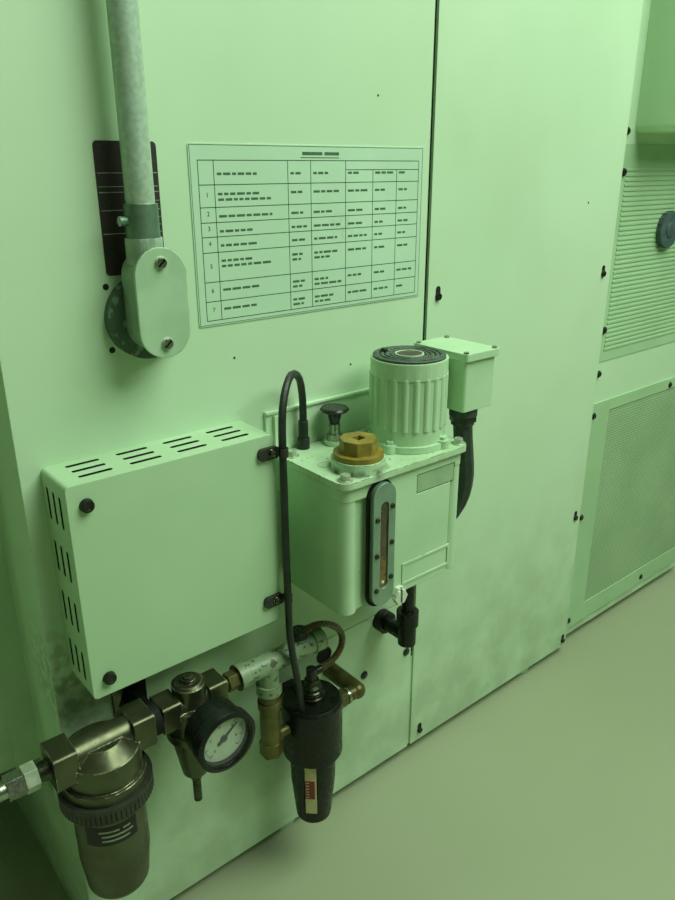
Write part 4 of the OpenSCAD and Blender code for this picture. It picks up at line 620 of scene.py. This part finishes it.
def build(name, shapes, finish, face=WALL, body="machine"):
    """A piece from a list of calls, each a shape function and its arguments."""
    bm = bmesh.new()
    for shape, *arguments in shapes:
        shape(bm, *arguments)
    bmesh.ops.remove_doubles(bm, verts=bm.verts, dist=0.001)
    bmesh.ops.recalc_face_normals(bm, faces=bm.faces)
    mesh = bpy.data.meshes.new(name)
    bm.to_mesh(mesh)
    bm.free()
    return settle(name, mesh, face, finish, body)


# Geometry Nodes for what repeats

def new_tree(name, sizes):
    """A geometry tree with named sizes; gives the tree, its input node and its output node."""
    tree = bpy.data.node_groups.new(name, "GeometryNodeTree")
    tree.interface.new_socket("Geometry", in_out="INPUT", socket_type="NodeSocketGeometry")
    tree.interface.new_socket("Geometry", in_out="OUTPUT", socket_type="NodeSocketGeometry")
    for size, default in sizes.items():
        kind = "NodeSocketInt" if isinstance(default, int) else "NodeSocketFloat"
        tree.interface.new_socket(size, in_out="INPUT", socket_type=kind).default_value = default
    return tree, tree.nodes.new("NodeGroupInput"), tree.nodes.new("NodeGroupOutput")


def finish_tree(tree, inlet, outlet, shape, finish):
    """Ends a tree: the shape stands on each point, made real, with its material set."""
    placed = add(tree, "GeometryNodeInstanceOnPoints", {"Points": inlet.outputs["Geometry"],
                                                        "Instance": shape}).outputs["Instances"]
    real = add(tree, "GeometryNodeRealizeInstances", {"Geometry": placed}).outputs["Geometry"]
    coated = add(tree, "GeometryNodeSetMaterial", {"Geometry": real, "Material": FINISHES[finish]})
    tree.links.new(coated.outputs["Geometry"], outlet.inputs[0])


def grow(name, tree, points, sizes, face, finish, body="machine"):
    """Runs a tree on a set of points and settles the plain mesh it gives."""
    seed = bpy.data.meshes.new(name + "_places")
    seed.from_pydata([(x, y, z) for x, y, z in points], [], [])
    carrier = bpy.data.objects.new(name + "_carrier", seed)
    bpy.context.scene.collection.objects.link(carrier)
    modifier = carrier.modifiers.new("grown", "NODES")
    modifier.node_group = tree
    for item in tree.interface.items_tree:
        if item.in_out == "INPUT" and item.name in sizes:
            modifier[item.identifier] = sizes[item.name]
    bpy.context.view_layer.update()
    graph = bpy.context.evaluated_depsgraph_get()
    mesh = bpy.data.meshes.new_from_object(carrier.evaluated_get(graph))
    carrier.modifiers.remove(modifier)
    bpy.data.objects.remove(carrier)
    return settle(name, mesh, face, finish, body)


# Shares of a screw's radius: its top, its socket, its slot's length and width
TAPER, SOCKET, SLOT_LONG, SLOT_WIDE = 0.86, 0.5, 2.4, 0.36
# How high the middle of the cutting tool stands, in head heights, the slot's turn and the washer's thickness
SOCKET_LIFT, SLOT_LIFT, SLOT_TURN, WASHER_T = 1.45, 1.05, 0.7, 1.2


def screw_tree(name, recess, finish):
    """Screw heads on points: a tapered head on a washer, with a socket of six sides or a slot."""
    tree, inlet, outlet = new_tree(name, {"Head radius": 5.0, "Head height": 4.0, "Washer": 1.3})
    radius, height, washer = (inlet.outputs[n] for n in ("Head radius", "Head height", "Washer"))
    head = add(tree, "GeometryNodeMeshCone", {"Vertices": 20, "Radius Top": times(tree, radius, TAPER),
                                              "Radius Bottom": radius, "Depth": height}).outputs["Mesh"]
    if recess == "hex":
        tool = add(tree, "GeometryNodeMeshCylinder", {"Vertices": 6, "Radius": times(tree, radius, SOCKET),
                                                      "Depth": height})
        lift, spin = SOCKET_LIFT, 0
    else:
        size = vector(tree, X=times(tree, radius, SLOT_LONG), Y=times(tree, radius, SLOT_WIDE), Z=height)
        tool = add(tree, "GeometryNodeMeshCube", {"Size": size})
        lift, spin = SLOT_LIFT, SLOT_TURN
    tool = add(tree, "GeometryNodeTransform", {"Geometry": tool.outputs["Mesh"], "Rotation": (0, 0, spin),
                                               "Translation": vector(tree, Z=times(tree, height, lift))})
    cut = add(tree, "GeometryNodeMeshBoolean", {"Mesh 1": head}, operation="DIFFERENCE", solver="EXACT")
    tree.links.new(tool.outputs["Geometry"], cut.inputs["Mesh 2"])
    plate = add(tree, "GeometryNodeMeshCylinder", {"Vertices": 24, "Radius": times(tree, radius, washer),
                                                   "Depth": WASHER_T})
    joined = tree.nodes.new("GeometryNodeJoinGeometry")
    for part in (plate, cut):
        tree.links.new(part.outputs["Mesh"], joined.inputs[0])
    finish_tree(tree, inlet, outlet, joined.outputs[0], finish)
    return tree


FULL_TURN = 6.28319


def spokes_tree(name, finish):
    """Small bars round a circle, as ticks on a dial or flutes on a knob."""
    sizes = {"Count": 24, "Circle": 20.0, "Bar length": 4.0, "Bar width": 0.8, "Bar height": 0.4,
             "First angle": 0.0, "Sweep": FULL_TURN}
    tree, inlet, outlet = new_tree(name, sizes)
    size = {n: inlet.outputs[n] for n in sizes}
    step = times(tree, size["Sweep"], size["Count"], "DIVIDE")
    swept = times(tree, add(tree, "GeometryNodeInputIndex").outputs["Index"], step)
    spin = vector(tree, Z=times(tree, swept, size["First angle"], "ADD"))
    bar_size = vector(tree, X=size["Bar length"], Y=size["Bar width"], Z=size["Bar height"])
    bar = add(tree, "GeometryNodeMeshCube", {"Size": bar_size}).outputs["Mesh"]
    bar = add(tree, "GeometryNodeTransform", {"Geometry": bar, "Translation": vector(tree, X=size["Circle"])})
    line = add(tree, "GeometryNodeMeshLine", {"Count": size["Count"], "Offset": (0, 0, 0)}, mode="OFFSET")
    ringed = add(tree, "GeometryNodeInstanceOnPoints", {"Points": line.outputs["Mesh"], "Rotation": spin,
                                                        "Instance": bar.outputs["Geometry"]})
    finish_tree(tree, inlet, outlet, ringed.outputs["Instances"], finish)
    return tree


def screws(name, tree, points, radius, height, washer, finish="black_oxide", face=WALL):
    """Screws of a head radius and height, on washers that are so many times as wide."""
    grow(name, tree, points, {"Head radius": radius, "Head height": height, "Washer": washer}, face, finish)


def spokes(name, tree, points, count, circle, bar, face, finish, body="machine", first=0.0, sweep=FULL_TURN):
    """Bars of a length, width and height on a circle, from a first angle over a sweep in radians."""
    sizes = {"Count": count, "Circle": circle, "Bar length": bar[0], "Bar width": bar[1], "Bar height": bar[2],
             "First angle": first, "Sweep": sweep}
    grow(name, tree, points, sizes, face, finish, body)


hex_screws = screw_tree("socket_screws", "hex", "black_oxide")
bright_screws = screw_tree("bright_socket_screws", "hex", "zinc_plate")
slot_screws = screw_tree("slotted_screws", "slot", "turned_steel")
flutes = spokes_tree("flutes", "phenolic")
faded_flutes = spokes_tree("faded_flutes", "faded_plastic")
ticks = spokes_tree("dial_ticks", "black_print")

# Wall: panel screws in their keyholes, plugs, holes and specks, as (x, y) with a speck's radius after them
KEYHOLES = ((755, 768.7), (756.7, 38.7), (1155.6, 765), (1161, 311), (1168, 34))
PLUGS = ((629, 213), (718, 214))
PIPE_HOLE = (552, 285)
SPECKS = ((291, 826, 3.2), (290.6, 764.5, 3.2), (626, 183.5, 2.6), (1090, 880, 1.6), (600, 700, 1.4),
          (640, 1010, 1.3), (430, 735, 1.4))
# The cabinet's side lies sunk, and its screws between these heights sit on the covers' rims
CABINET_V, RIM_T, RIM_FROM, RIM_TO = -17, 2.4, 38, 968
CABINET_SCREWS = ((1206, 987), (1206, 924), (1206, 660), (1206, 580), (1206, 500), (1206, 292), (1206, 57),
                  (1488, 55), (1482, 510), (1674, 55), (1674, 510), (1674, 620), (1674, 950))
GRILLE_KNOB = (1370, 825)

# Painted shade: black shapes stand for the dark inside of the keyholes
build("keyholes", [(prism, rounded(9, 20, 4.4, (u, w + 4)), -0.5, 0.35) for u, w in KEYHOLES], "hole_shade_and_specks")
screws("keyhole_screws", hex_screws, [(u, w, 0.3) for u, w in KEYHOLES], 5.2, 3.4, 1.02)
build("wall_plugs", [(turned, [(0, -0.5), (6.6, -0.5), (6.6, 1.2), (5.2, 2.6), (2.6, 3.3), (0, 3.4)], (u, w), 24)
                     for u, w in PLUGS], "phenolic")
# Painted shade: a black disc and ring stand for the pipe hole's dark inside
build("pipe_hole", [(turned, ring(10.5, 13, -0.4, 1.4), PIPE_HOLE), (turned, disc(10.6, -0.4, 0.3), PIPE_HOLE)],
      "hole_shade_and_specks")
build("wall_specks", [(turned, disc(r, -0.4, 0.25), (u, w), 10) for u, w, r in SPECKS], "hole_shade_and_specks")
screws("cabinet_screws", hex_screws,
       [(u, w, CABINET_V + (RIM_T if RIM_FROM < w < RIM_TO else 0)) for u, w in CABINET_SCREWS], 5.0, 3.2, 1.3)
spokes("grille_knob_flutes", faded_flutes, [(*GRILLE_KNOB, covers_high.z - 4)], 18, 31.0, (4.0, 3.0, 7.0), WALL,
       "faded_plastic")
build("grille_knob_cap", [(turned, [(0, -1), (14, -1), (14, 1.2), (11, 3.0), (0, 3.4)], GRILLE_KNOB)], "faded_plastic",
      raised(covers_high.z))

# Painted shade: a dark strip deep in the seam between the two sheets stands for the gap's shadow
seam_start = reach("front_side_panel")[1].x
seam_end, sheet_top = reach("rear_side_panel")[0].x, reach("rear_side_panel")[1].y
SHADE_FOOT, SHADE_BACK, SHADE_FACE = 205, -20, -4
build("seam_shade_strip", [(slab, (seam_start - 0.5, SHADE_FOOT, SHADE_BACK), (seam_end + 0.5, sheet_top - 6, SHADE_FACE))],
      "neoprene")

# Chart: a printed sheet with a ruled table, whose rows hold plain strokes and numbers
CHART = (388.5, 773.5, 717.0, 955.8)
# The table's distance from the sheet's edges: left, low, right and high; and the thin border line's
TABLE_IN, BORDER_IN, BORDER = (10, 6, 8, 16), 1.4, 0.5
COLUMNS = (0, 0.058, 0.355, 0.456, 0.619, 0.755, 0.88, 1)
ROWS = (0, 0.146, 0.282, 0.375, 0.464, 0.561, 0.749, 0.875, 1)
SHEET_T, RULE, PRINT_T = 0.8, 0.75, 0.12
LINE_PITCH, STROKE_H, WORD_GAP, INDENT = 5.5, 2.5, 1.9, 3.5
WORDS, FILLED, TITLE_WORDS = (4.5, 11), (0.45, 0.95), (28, 21)


def numeral(name, value, size, thick, place, face, finish):
    """A printed figure, centred on a place of a face."""
    curve = bpy.data.curves.new(name, "FONT")
    curve.body, curve.size, curve.extrude = str(value), size, thick
    curve.align_x, curve.align_y = "CENTER", "CENTER"
    figure = bpy.data.objects.new(name, curve)
    bpy.context.scene.collection.objects.link(figure)
    bpy.context.view_layer.update()
    mesh = bpy.data.meshes.new_from_object(figure.evaluated_get(bpy.context.evaluated_depsgraph_get()))
    bpy.data.objects.remove(figure)
    mesh.transform(Matrix.Translation(place))
    settle(name, mesh, face, finish, "machine")


def chart():
    """The sheet, its rules, its strokes in rows and the rows' numbers."""
    u0, w0, u1, w1 = CHART
    middle, width, height = ((u0 + u1) / 2, (w0 + w1) / 2), u1 - u0, w1 - w0
    build("chart_sheet", [(prism, rounded(width, height, 3, middle), 0.02, SHEET_T)], "printed_sheet")
    t0, b0, t1, b1 = u0 + TABLE_IN[0], w0 + TABLE_IN[1], u1 - TABLE_IN[2], w1 - TABLE_IN[3]
    z0, z1 = SHEET_T - 0.1, SHEET_T + PRINT_T
    across = [t0 + (t1 - t0) * c for c in COLUMNS]
    down = [b1 - (b1 - b0) * r for r in ROWS]
    split = (down[0] + down[1]) / 2 + 2
    lines = [(slab, (x - RULE / 2, b0, z0), (x + RULE / 2, b1 if i < 5 or i == 7 else split, z1))
             for i, x in enumerate(across)]
    lines += [(slab, (t0, y - RULE / 2, z0), (t1, y + RULE / 2, z1)) for y in down]
    lines += [(slab, (across[4], split - RULE / 2, z0), (t1, split + RULE / 2, z1))]
    lines += [(slab, (middle[0] - 26, w1 - 13.5, z0), (middle[0] + 28, w1 - 12.7, z1))]
    left, low, right, high = u0 + BORDER_IN, w0 + BORDER_IN, u1 - BORDER_IN, w1 - BORDER_IN
    lines += [(slab, (left, y, z0), (right, y + BORDER, z1)) for y in (low, high - BORDER)]
    lines += [(slab, (x, low, z0), (x + BORDER, high, z1)) for x in (left, right - BORDER)]
    build("chart_rules", lines, "printing_ink")
    draw = random.Random(7)
    strokes = []
    for row in range(8):
        for column in range(1, 7):
            wide = across[column + 1] - across[column] - 2 * INDENT
            count = 2 if column == 1 and row in (1, 5) or column in (2, 3) and row > 4 else 1
            for line in range(count):
                x, y = across[column] + INDENT, down[row] - 9 - LINE_PITCH * line - (4 if row == 0 else 0)
                end = x + wide * draw.uniform(*FILLED)
                while x < end - 3:
                    word = min(draw.uniform(*WORDS), end - x)
                    strokes.append((slab, (x, y - STROKE_H / 2, z0), (x + word, y + STROKE_H / 2, z1 - PRINT_T / 2)))
                    x += word + WORD_GAP
    x = middle[0] - 24
    for word in TITLE_WORDS:
        strokes.append((slab, (x, w1 - 10.6, z0), (x + word, w1 - 7.2, z1 - PRINT_T / 2)))
        x += word + 3
    build("chart_strokes", strokes, "faded_ink")
    for row in range(1, 8):
        place = ((across[0] + across[1]) / 2, (down[row] + down[row + 1]) / 2 + 1, SHEET_T)
        numeral(f"chart_number_{row}", row, 6.5, 0.15, place, WALL, "printing_ink")


chart()

# Old plate behind the conduit, ruled in pale lines
PLATE = (293, 836, 355, 956)
LONG_LINES, SHORT_LINES, SHORT_FROM = (928, 916, 911, 895, 874), (903, 888, 881), 336


def old_plate():
    """The plate and its lines."""
    u0, w0, u1, w1 = PLATE
    middle = ((u0 + u1) / 2, (w0 + w1) / 2)
    build("old_plate", [(prism, rounded(u1 - u0, w1 - w0, 4, middle), 0.02, 0.9)], "dark_plate")
    lines = [(slab, (u0 + 1, w, 0.8), (u1 - 1, w + 0.7, 1.0)) for w in LONG_LINES]
    lines += [(slab, (SHORT_FROM, w, 0.8), (u1 - 1, w + 0.6, 1.0)) for w in SHORT_LINES]
    lines += [(slab, (SHORT_FROM + 1, 866, 0.8), (SHORT_FROM + 2, LONG_LINES[0], 1.0))]
    build("old_plate_lines", lines, "pale_ink")


old_plate()

# Conduit: slotted screws of the outlet's cover, and the gasket under it
cover_low, cover_high = reach("conduit_cover")
cover_mid = middle_of(cover_low, cover_high)
screws("cover_screws", slot_screws, [(cover_mid[0], cover_mid[1] + s * 38, cover_high.z - 2.2) for s in (-1, 1)],
       5.6, 4.0, 1.0, "turned_steel")
build("cover_gasket", [(prism, rounded(51, 102, 25.4, cover_mid, 12), cover_low.z - 0.25, cover_low.z + 0.05)],
      "neoprene")

# Vent box: sockets in its screws, and clips that hold the level cable on the right side
VENT_SCREWS = ((223, 639), (223, 446), (420.5, 641), (420.5, 456))
SOCKET_DEPTH = 4.2
screws("vent_screws", hex_screws, [(u, w, vent_high.z - SOCKET_DEPTH) for u, w in VENT_SCREWS[:2]], 7.0, 5.4, 1.0)
screws("clip_screws", bright_screws, [(u + 9.5, w, vent_high.z + 0.4) for u, w in VENT_SCREWS[2:]], 4.6, 3.6, 1.15,
       "dark_metal")
# The cable's middle and the band's inner and outer radius, its angles and its width along the cable
CABLE_U, CABLE_V, BAND_IN, BAND_OUT = 441, 72.3, 5.0, 6.25
BAND_ANGLES = [math.radians(-150 + 25 * k) for k in range(13)]
BAND_W = 10
loop = [(CABLE_U + r * math.cos(a), -CABLE_V - r * math.sin(a)) for r, angles in
        ((BAND_IN, BAND_ANGLES), (BAND_OUT, BAND_ANGLES[::-1])) for a in angles]
for number, (u, w) in enumerate(VENT_SCREWS[2:]):
    strap = WALL @ Matrix.Translation((0, w - BAND_W / 2, 0)) @ Matrix.Rotation(math.radians(-90), 4, "X")
    build(f"cable_clip_{number}", [(prism, loop, 0, BAND_W)], "filled_nylon", strap)
    tab = (prism, rounded(26, 14, 5, (u + 6, w)), vent_high.z - SOCKET_DEPTH, vent_high.z + 0.4)
    build(f"cable_clip_tab_{number}", [tab], "filled_nylon")

# Oil unit: washers and sockets on the lid's bolts, window, rings on the motor, box screws
LID_BOLTS = ((487, 124), (670, 124), (668, 17), (486, 27))
LID_FACE, LID_MARK = 612, (500, 74)


screws("lid_bolts", bright_screws, [on_top(u, v, LID_FACE + 0.4) for u, v in LID_BOLTS], 6.3, 6.6, 1.4, "zinc_plate",
       WALL_TOP)
build("lid_mark", [(turned, ring(8.2, 9.8, LID_FACE - 0.2, LID_FACE + 0.5), on_top(*LID_MARK))], "cast_enamel",
      WALL_TOP)
window_mid, sight_face = middle_of(*reach("sight_gauge")), reach("sight_gauge")[0].z
build("gauge_gasket", [(prism, rounded(40, 164, 19.9, (window_mid[0] - 1.5, window_mid[1]), 12), sight_face - 0.4,
                        sight_face + 1.6)], "neoprene")
build("oil_strip", [(prism, rounded(12.9, 111.8, 6.4, window_mid, 10), sight_face + 2.9, sight_face + 6.2)],
      "oil_in_window")
build("oil_window_glass", [(prism, rounded(12.8, 111.6, 6.3, window_mid, 10), sight_face + 6.4, sight_face + 7.2)],
      "sight_glass")
build("oil_ball", [(turned, [(0, 0), (2.4, 0), (2.4, 0.5), (1.2, 1.2), (0, 1.4)], (window_mid[0], window_mid[1] - 49),
                    16)], "moulded_plug", raised(sight_face + 6.1))
# Screws of the window's frame in three pairs, each pair staggered
PAIR_FIRST, PAIR_PITCH, PAIR_HALF, PAIR_STAGGER = -50, 46, 11.5, 6
screws("window_screws", hex_screws,
       [(window_mid[0] + s * PAIR_HALF, window_mid[1] + PAIR_FIRST + PAIR_PITCH * i + PAIR_STAGGER * s,
         sight_face + 7.4) for i in range(3) for s in (-1, 1)], 3.2, 2.6, 1.0)
plug_u, plug_w, plug_face = tank_low.x + 86, tank_low.y + 3, tank_high.z - 7
SLOT_HALF = 1.6


def hexagon(radius, middle, cut=None):
    """A hexagon, or only its left (-1) or right (1) part beside a slot."""
    points = [(radius * math.cos(math.pi / 3 * k), radius * math.sin(math.pi / 3 * k)) for k in range(6)]
    if cut:
        side, edge_y = SLOT_HALF * cut, math.sqrt(3) * radius / 2
        points = [(side, edge_y)] + [q for q in points if q[0] * cut > SLOT_HALF] + [(side, -edge_y)]
        points.sort(key=lambda q: math.atan2(q[1], q[0] - 4 * cut))
    return [(middle[0] + x, middle[1] + y) for x, y in points]


def block(u, w, half_u, half_w, z0, z1):
    """A slab round a place, for build."""
    return [(slab, (u - half_u, w - half_w, z0), (u + half_u, w + half_w, z1))]


build("drain_plug_head", [(prism, hexagon(10.4, (plug_u, plug_w)), plug_face + 0.6, plug_face + 5.8)]
      + [(prism, hexagon(10.4, (plug_u, plug_w), side), plug_face + 5.8, plug_face + 8.6) for side in (-1, 1)],
      "moulded_plug")
# Painted shade: a black slab stands for the depth of the plug's slot
build("drain_plug_slot", block(plug_u, plug_w, 1.5, 8.6, plug_face + 5.7, plug_face + 6.4), "hole_shade_and_specks")
PLATE_SPOT = (tank_high.x - 50, 580)
build("tank_plate_edge", block(*PLATE_SPOT, 32.7, 12.2, plug_face - 0.1, plug_face + 0.15), "printing_ink")
build("tank_plate", block(*PLATE_SPOT, 31.7, 11.2, plug_face + 0.1, plug_face + 0.5), "tank_plate")
motor_mid, button_mid = on_top(628, 76), on_top(614, 46)
build("motor_ring", [(turned, ring(15.5, 17.6, motor_top - 1.2, motor_top + 0.7), motor_mid)], "cast_enamel",
      WALL_TOP)
build("motor_dish", [(turned, [(0, motor_top - 0.6), (15, motor_top - 0.6), (15, motor_top + 0.2), (9, motor_top),
                               (0, motor_top - 0.1)], motor_mid)], "motor_dish", WALL_TOP)
build("motor_button", [(turned, [(0, -1), (4.6, -1), (4.6, 1.6), (3.4, 3.6), (0, 4.2)], button_mid, 20)],
      "phenolic", raised(motor_top, WALL_TOP))
# The junction box's middle and its screws' distances from it, and its gland with the nut's two heights
BOX_MID, BOX_SCREWS, GLAND_MID, GLAND_NUT = (708.5, 78), (26, 40), (705, 99), (628, 640)
box_lid = reach("junction_box")[1].y
screws("box_screws", bright_screws, [on_top(BOX_MID[0] + sx * BOX_SCREWS[0], BOX_MID[1] + sy * BOX_SCREWS[1],
                                            box_lid - 1.4)
                                     for sx in (-1, 1) for sy in (-1, 1)],
       3.6, 3.4, 1.0, "turned_steel", WALL_TOP)
build("gland_nut", [(prism, hexagon(17.5, on_top(*GLAND_MID)), *GLAND_NUT)], "phenolic", WALL_TOP)

# Air unit: dial, glass and bezel of the gauge, labels on the bowls, knobs, nut and clamps
gauge_low, gauge_high = reach("pressure_gauge")
GAUGE_MID = middle_of(gauge_low, gauge_high)
dial_v, rim_v, gauge_r = gauge_high.z - 9, gauge_high.z, (gauge_high.x - gauge_low.x) / 2
build("gauge_dial", [(turned, disc(28.6, dial_v + 0.05, dial_v + 0.45), GAUGE_MID)], "dial_card")
dial_face = raised(dial_v + 0.5, WALL, GAUGE_MID)
FULL_SCALE, ZERO_AT, LAST_FIGURE, FIGURE_CIRCLE = math.radians(270), math.radians(-45), 9, 16.5
for name, count, circle, bar in (("dial_marks", 10, 23.0, (5.0, 0.9, 0.25)),
                                 ("dial_fine_marks", 46, 24.2, (2.4, 0.45, 0.25))):
    spokes(name, ticks, [(0, 0, 0)], count, circle, bar, dial_face, "black_print", "machine", ZERO_AT,
           FULL_SCALE * count / (count - 1))
for figure in range(0, LAST_FIGURE, 2):
    angle = ZERO_AT + FULL_SCALE * (LAST_FIGURE - figure) / LAST_FIGURE
    place = (FIGURE_CIRCLE * math.cos(angle), FIGURE_CIRCLE * math.sin(angle), 0)
    numeral(f"dial_figure_{figure}", figure, 5.5, 0.1, place, dial_face, "black_print")
build("gauge_glass", [(turned, disc(28.9, dial_v + 4.5, dial_v + 6.0, 0.4), GAUGE_MID)], "gauge_glass")
build("gauge_bezel", [(turned, [(29.0, rim_v - 5), (29.0, rim_v + 0.6), (31.5, rim_v + 1.8),
                                (gauge_r + 0.9, rim_v + 0.4), (gauge_r + 1.2, rim_v - 6),
                                (gauge_r + 1.2, rim_v - 12), (gauge_r + 0.1, rim_v - 12.5),
                                (gauge_r - 0.4, rim_v - 5), (29.0, rim_v - 5)], GAUGE_MID, 72)], "black_enamel")


def wrapped(bm, middle, radius, angles, w0, w1, thick):
    """A label wrapped round an upright cylinder on the wall, between two angles from straight out."""
    steps = 16
    turns = [math.radians(angles[0] + (angles[1] - angles[0]) * k / steps) for k in range(steps + 1)]
    rows = [bm.verts.new((middle[0] + r * math.sin(a), w, middle[1] + r * math.cos(a)))
            for a in turns for r in (radius, radius + thick) for w in (w0, w1)]
    for k in range(steps):
        a, b = 4 * k, 4 * (k + 1)
        for i, j in ((0, 1), (1, 3), (3, 2), (2, 0)):
            bm.faces.new((rows[a + i], rows[a + j], rows[b + j], rows[b + i]))
    bm.faces.new([rows[i] for i in (0, 1, 3, 2)])
    bm.faces.new([rows[4 * steps + i] for i in (0, 2, 3, 1)])


bowl_low, bowl_high = reach("filter_bowl")
BOWL_MID = ((bowl_low.x + bowl_high.x) / 2, (bowl_low.z + bowl_high.z) / 2)
bowl_r = (bowl_high.x - bowl_low.x) / 2
# The printed lines of the filter's label: two angles and a height
LABEL_LINES = ((-40, -8, 285), (-2, 10, 285), (-36, 14, 279), (-36, 8, 273))
build("bowl_label", [(wrapped, BOWL_MID, bowl_r - 0.1, (-62, 22), 268, 293, 0.35)], "black_print")
build("bowl_label_rules", [(wrapped, BOWL_MID, bowl_r + 0.15, (a, b), w, w + 2.2, 0.2) for a, b, w in LABEL_LINES],
      "pale_ink")
# The lubricator's axis in plan, and how far its label is turned away from straight out
LUBE_MID, LABEL_TURN = (484, 60), math.radians(44)
LUBE_AXIS = WALL @ Vector((LUBE_MID[0], 0, LUBE_MID[1]))
LUBE_SIDE = facing(Z, X * math.cos(LABEL_TURN) - Y * math.sin(LABEL_TURN), LUBE_AXIS)
FOOT_W, FOOT_R, SHOULDER_W, SHOULDER_R, LABEL_BACK = 94, 24, 155, 30, 22.8


def bowl_reach(w):
    """Radius of the lubricator's bowl at a height: tapered below its shoulder, nearly straight above."""
    if w < SHOULDER_W:
        return FOOT_R + (SHOULDER_R - FOOT_R) * (w - FOOT_W) / (SHOULDER_W - FOOT_W)
    return SHOULDER_R + (w - SHOULDER_W) / 48


def upright_label(bm, w0, w1, x0, x1, proud):
    """A label that follows the bowl's slope, between two heights and two places across."""
    heights = [w0] + ([SHOULDER_W] if w0 < SHOULDER_W < w1 else []) + [w1]
    outline = [(w, bowl_reach(w) + proud) for w in heights] + [(w1, LABEL_BACK), (w0, LABEL_BACK)]
    prism(bm, outline, x0, x1)


build("lubricator_label", [(upright_label, 113, 200, -7.6, 7.6, 0.4)], "label_paper", LUBE_SIDE)
build("lubricator_band", [(upright_label, 141, 173, -7.7, 5.4, 0.65)], "red_print", LUBE_SIDE)
build("lubricator_ticks", [(upright_label, w, w + 1.3, -6.4, -2.2, 0.85) for w in (144, 149, 154, 159, 164, 169)],
      "dial_card", LUBE_SIDE)
HOSE_NUT = on_top(466, 60, 390.8)
spokes("hose_nut_flutes", flutes, [HOSE_NUT], 20, 10.0, (1.6, 1.5, 10.0), WALL_TOP, "phenolic")
build("drip_knob", [(turned, [(0, 284), (16.5, 284), (16.5, 290), (14.5, 292), (14.5, 298), (12.8, 299.5), (12.8, 304),
                              (9.6, 306), (9.6, 313.2), (8, 314), (0, 314)], on_top(*LUBE_MID), 32)], "dark_metal",
      WALL_TOP)


def along_wall(u, w, v):
    """A face square to the wall, its z along it towards the rear."""
    return WALL @ Matrix.Translation((u, w, v)) @ Matrix.Rotation(math.radians(90), 4, "Y")


inlet_low, inlet_high = reach("air_inlet")
build("inlet_nut", [(prism, hexagon(14.6, (0, 0)), 0, 13)], "zinc_plate",
      along_wall(inlet_high.x - 25, (inlet_low.y + inlet_high.y) / 2, (inlet_low.z + inlet_high.z) / 2))
CLAMPS_U, CLAMP_W, CLAMP_V = (529, 541), 256, 60
for number, u in enumerate(CLAMPS_U):
    build(f"hose_clamp_{number}", [(turned, ring(10.2, 11.4, 0, 4))], "turned_steel",
          along_wall(u, CLAMP_W, CLAMP_V))

# Front of the machine: the door's window seal, the panel's screen, stop collar and wheel scale
door_face, panel_face = reach("guard_door", FRONT)[1].z, panel_high.z
panel_mid = middle_of(panel_low, panel_high)


def frame_of(bm, width, height, radius, middle, thick, z0, z1):
    """A rounded frame: outline minus the same outline drawn in by its thickness."""
    outer = rounded(width, height, radius, middle)
    inner = rounded(width - 2 * thick, height - 2 * thick, radius - thick, middle)
    rows = [[bm.verts.new((x, y, z)) for x, y in line] for line, z in
            ((outer, z0), (outer, z1), (inner, z1), (inner, z0))]
    count = len(outer)
    for a, b in zip(rows, rows[1:] + rows[:1]):
        for k in range(count):
            n = (k + 1) % count
            bm.faces.new((a[k], a[n], b[n], b[k]))


build("window_seal", [(frame_of, 452, 552, 54, middle_of(*reach("door_window", FRONT)), 18, door_face - 35,
                       door_face - 31.5)], "neoprene", FRONT, "door")
build("screen_glass", [(prism, rounded(276, 216, 8, (panel_mid[0] - 45, panel_mid[1] + 130)),
                        panel_face - 22, panel_face - 12)], "dark_glass", FRONT, "pendant")
build("stop_collar", [(turned, ring(9, 26, panel_face - 6.1, panel_face - 5.4),
                       middle_of(*reach("emergency_stop", FRONT)))], "yellow_plate", FRONT,
      "pendant")
spokes("wheel_scale", ticks, [(*middle_of(*reach("handwheel", FRONT)), panel_face - 5.6)], 50, 37.0, (5.0, 0.9, 0.5),
       FRONT, "black_print", "pendant")

# Floor and light: a plain pale floor, a soft lamp above the service wall, two large soft lamps that light the
# machine's front and back, and a dim greenish room
floor_mesh = bpy.data.meshes.new("floor")
FLOOR = 12.0
floor_mesh.from_pydata([(-FLOOR, -FLOOR, 0), (FLOOR, -FLOOR, 0), (FLOOR, FLOOR, 0), (-FLOOR, FLOOR, 0)], [],
                       [(0, 1, 2, 3)])
floor = bpy.data.objects.new("floor", floor_mesh)
bpy.context.scene.collection.objects.link(floor)
floor_mesh.materials.append(coat("pale_floor", "#9caa86", "#97a581", 900, (0.55, 0.7), (6.0, 0.02)))


def soft_light(name, place, target, size, watts, colour):
    """A round lamp of a width in metres, aimed at a target and unseen itself."""
    lamp = bpy.data.lights.new(name, "AREA")
    lamp.shape, lamp.size, lamp.energy = "DISK", size, watts
    lamp.color = linear(colour)[:3]
    holder = bpy.data.objects.new(name, lamp)
    bpy.context.scene.collection.objects.link(holder)
    holder.location = place
    holder.visible_camera = False
    holder.rotation_euler = (Vector(target) - Vector(place)).to_track_quat("-Z", "Y").to_euler()


soft_light("key_light", (1.96, 0.73, 2.5), (0.85, 0.1, 1.0), 1.8, 64, "#f2fff0")
soft_light("front_light", (-1.6, -4.5, 3.6), (0, 0, 1), 3.0, 190, "#f4ffee")
soft_light("back_light", (-2.5, 4.6, 3.6), (0, 0, 1), 3.0, 160, "#f4ffee")
world = bpy.data.worlds.new("pale_room")
bpy.context.scene.world = world
world.use_nodes = True
room = world.node_tree.nodes["Background"].inputs
room["Color"].default_value, room["Strength"].default_value = linear("#cfe6b4"), 0.11
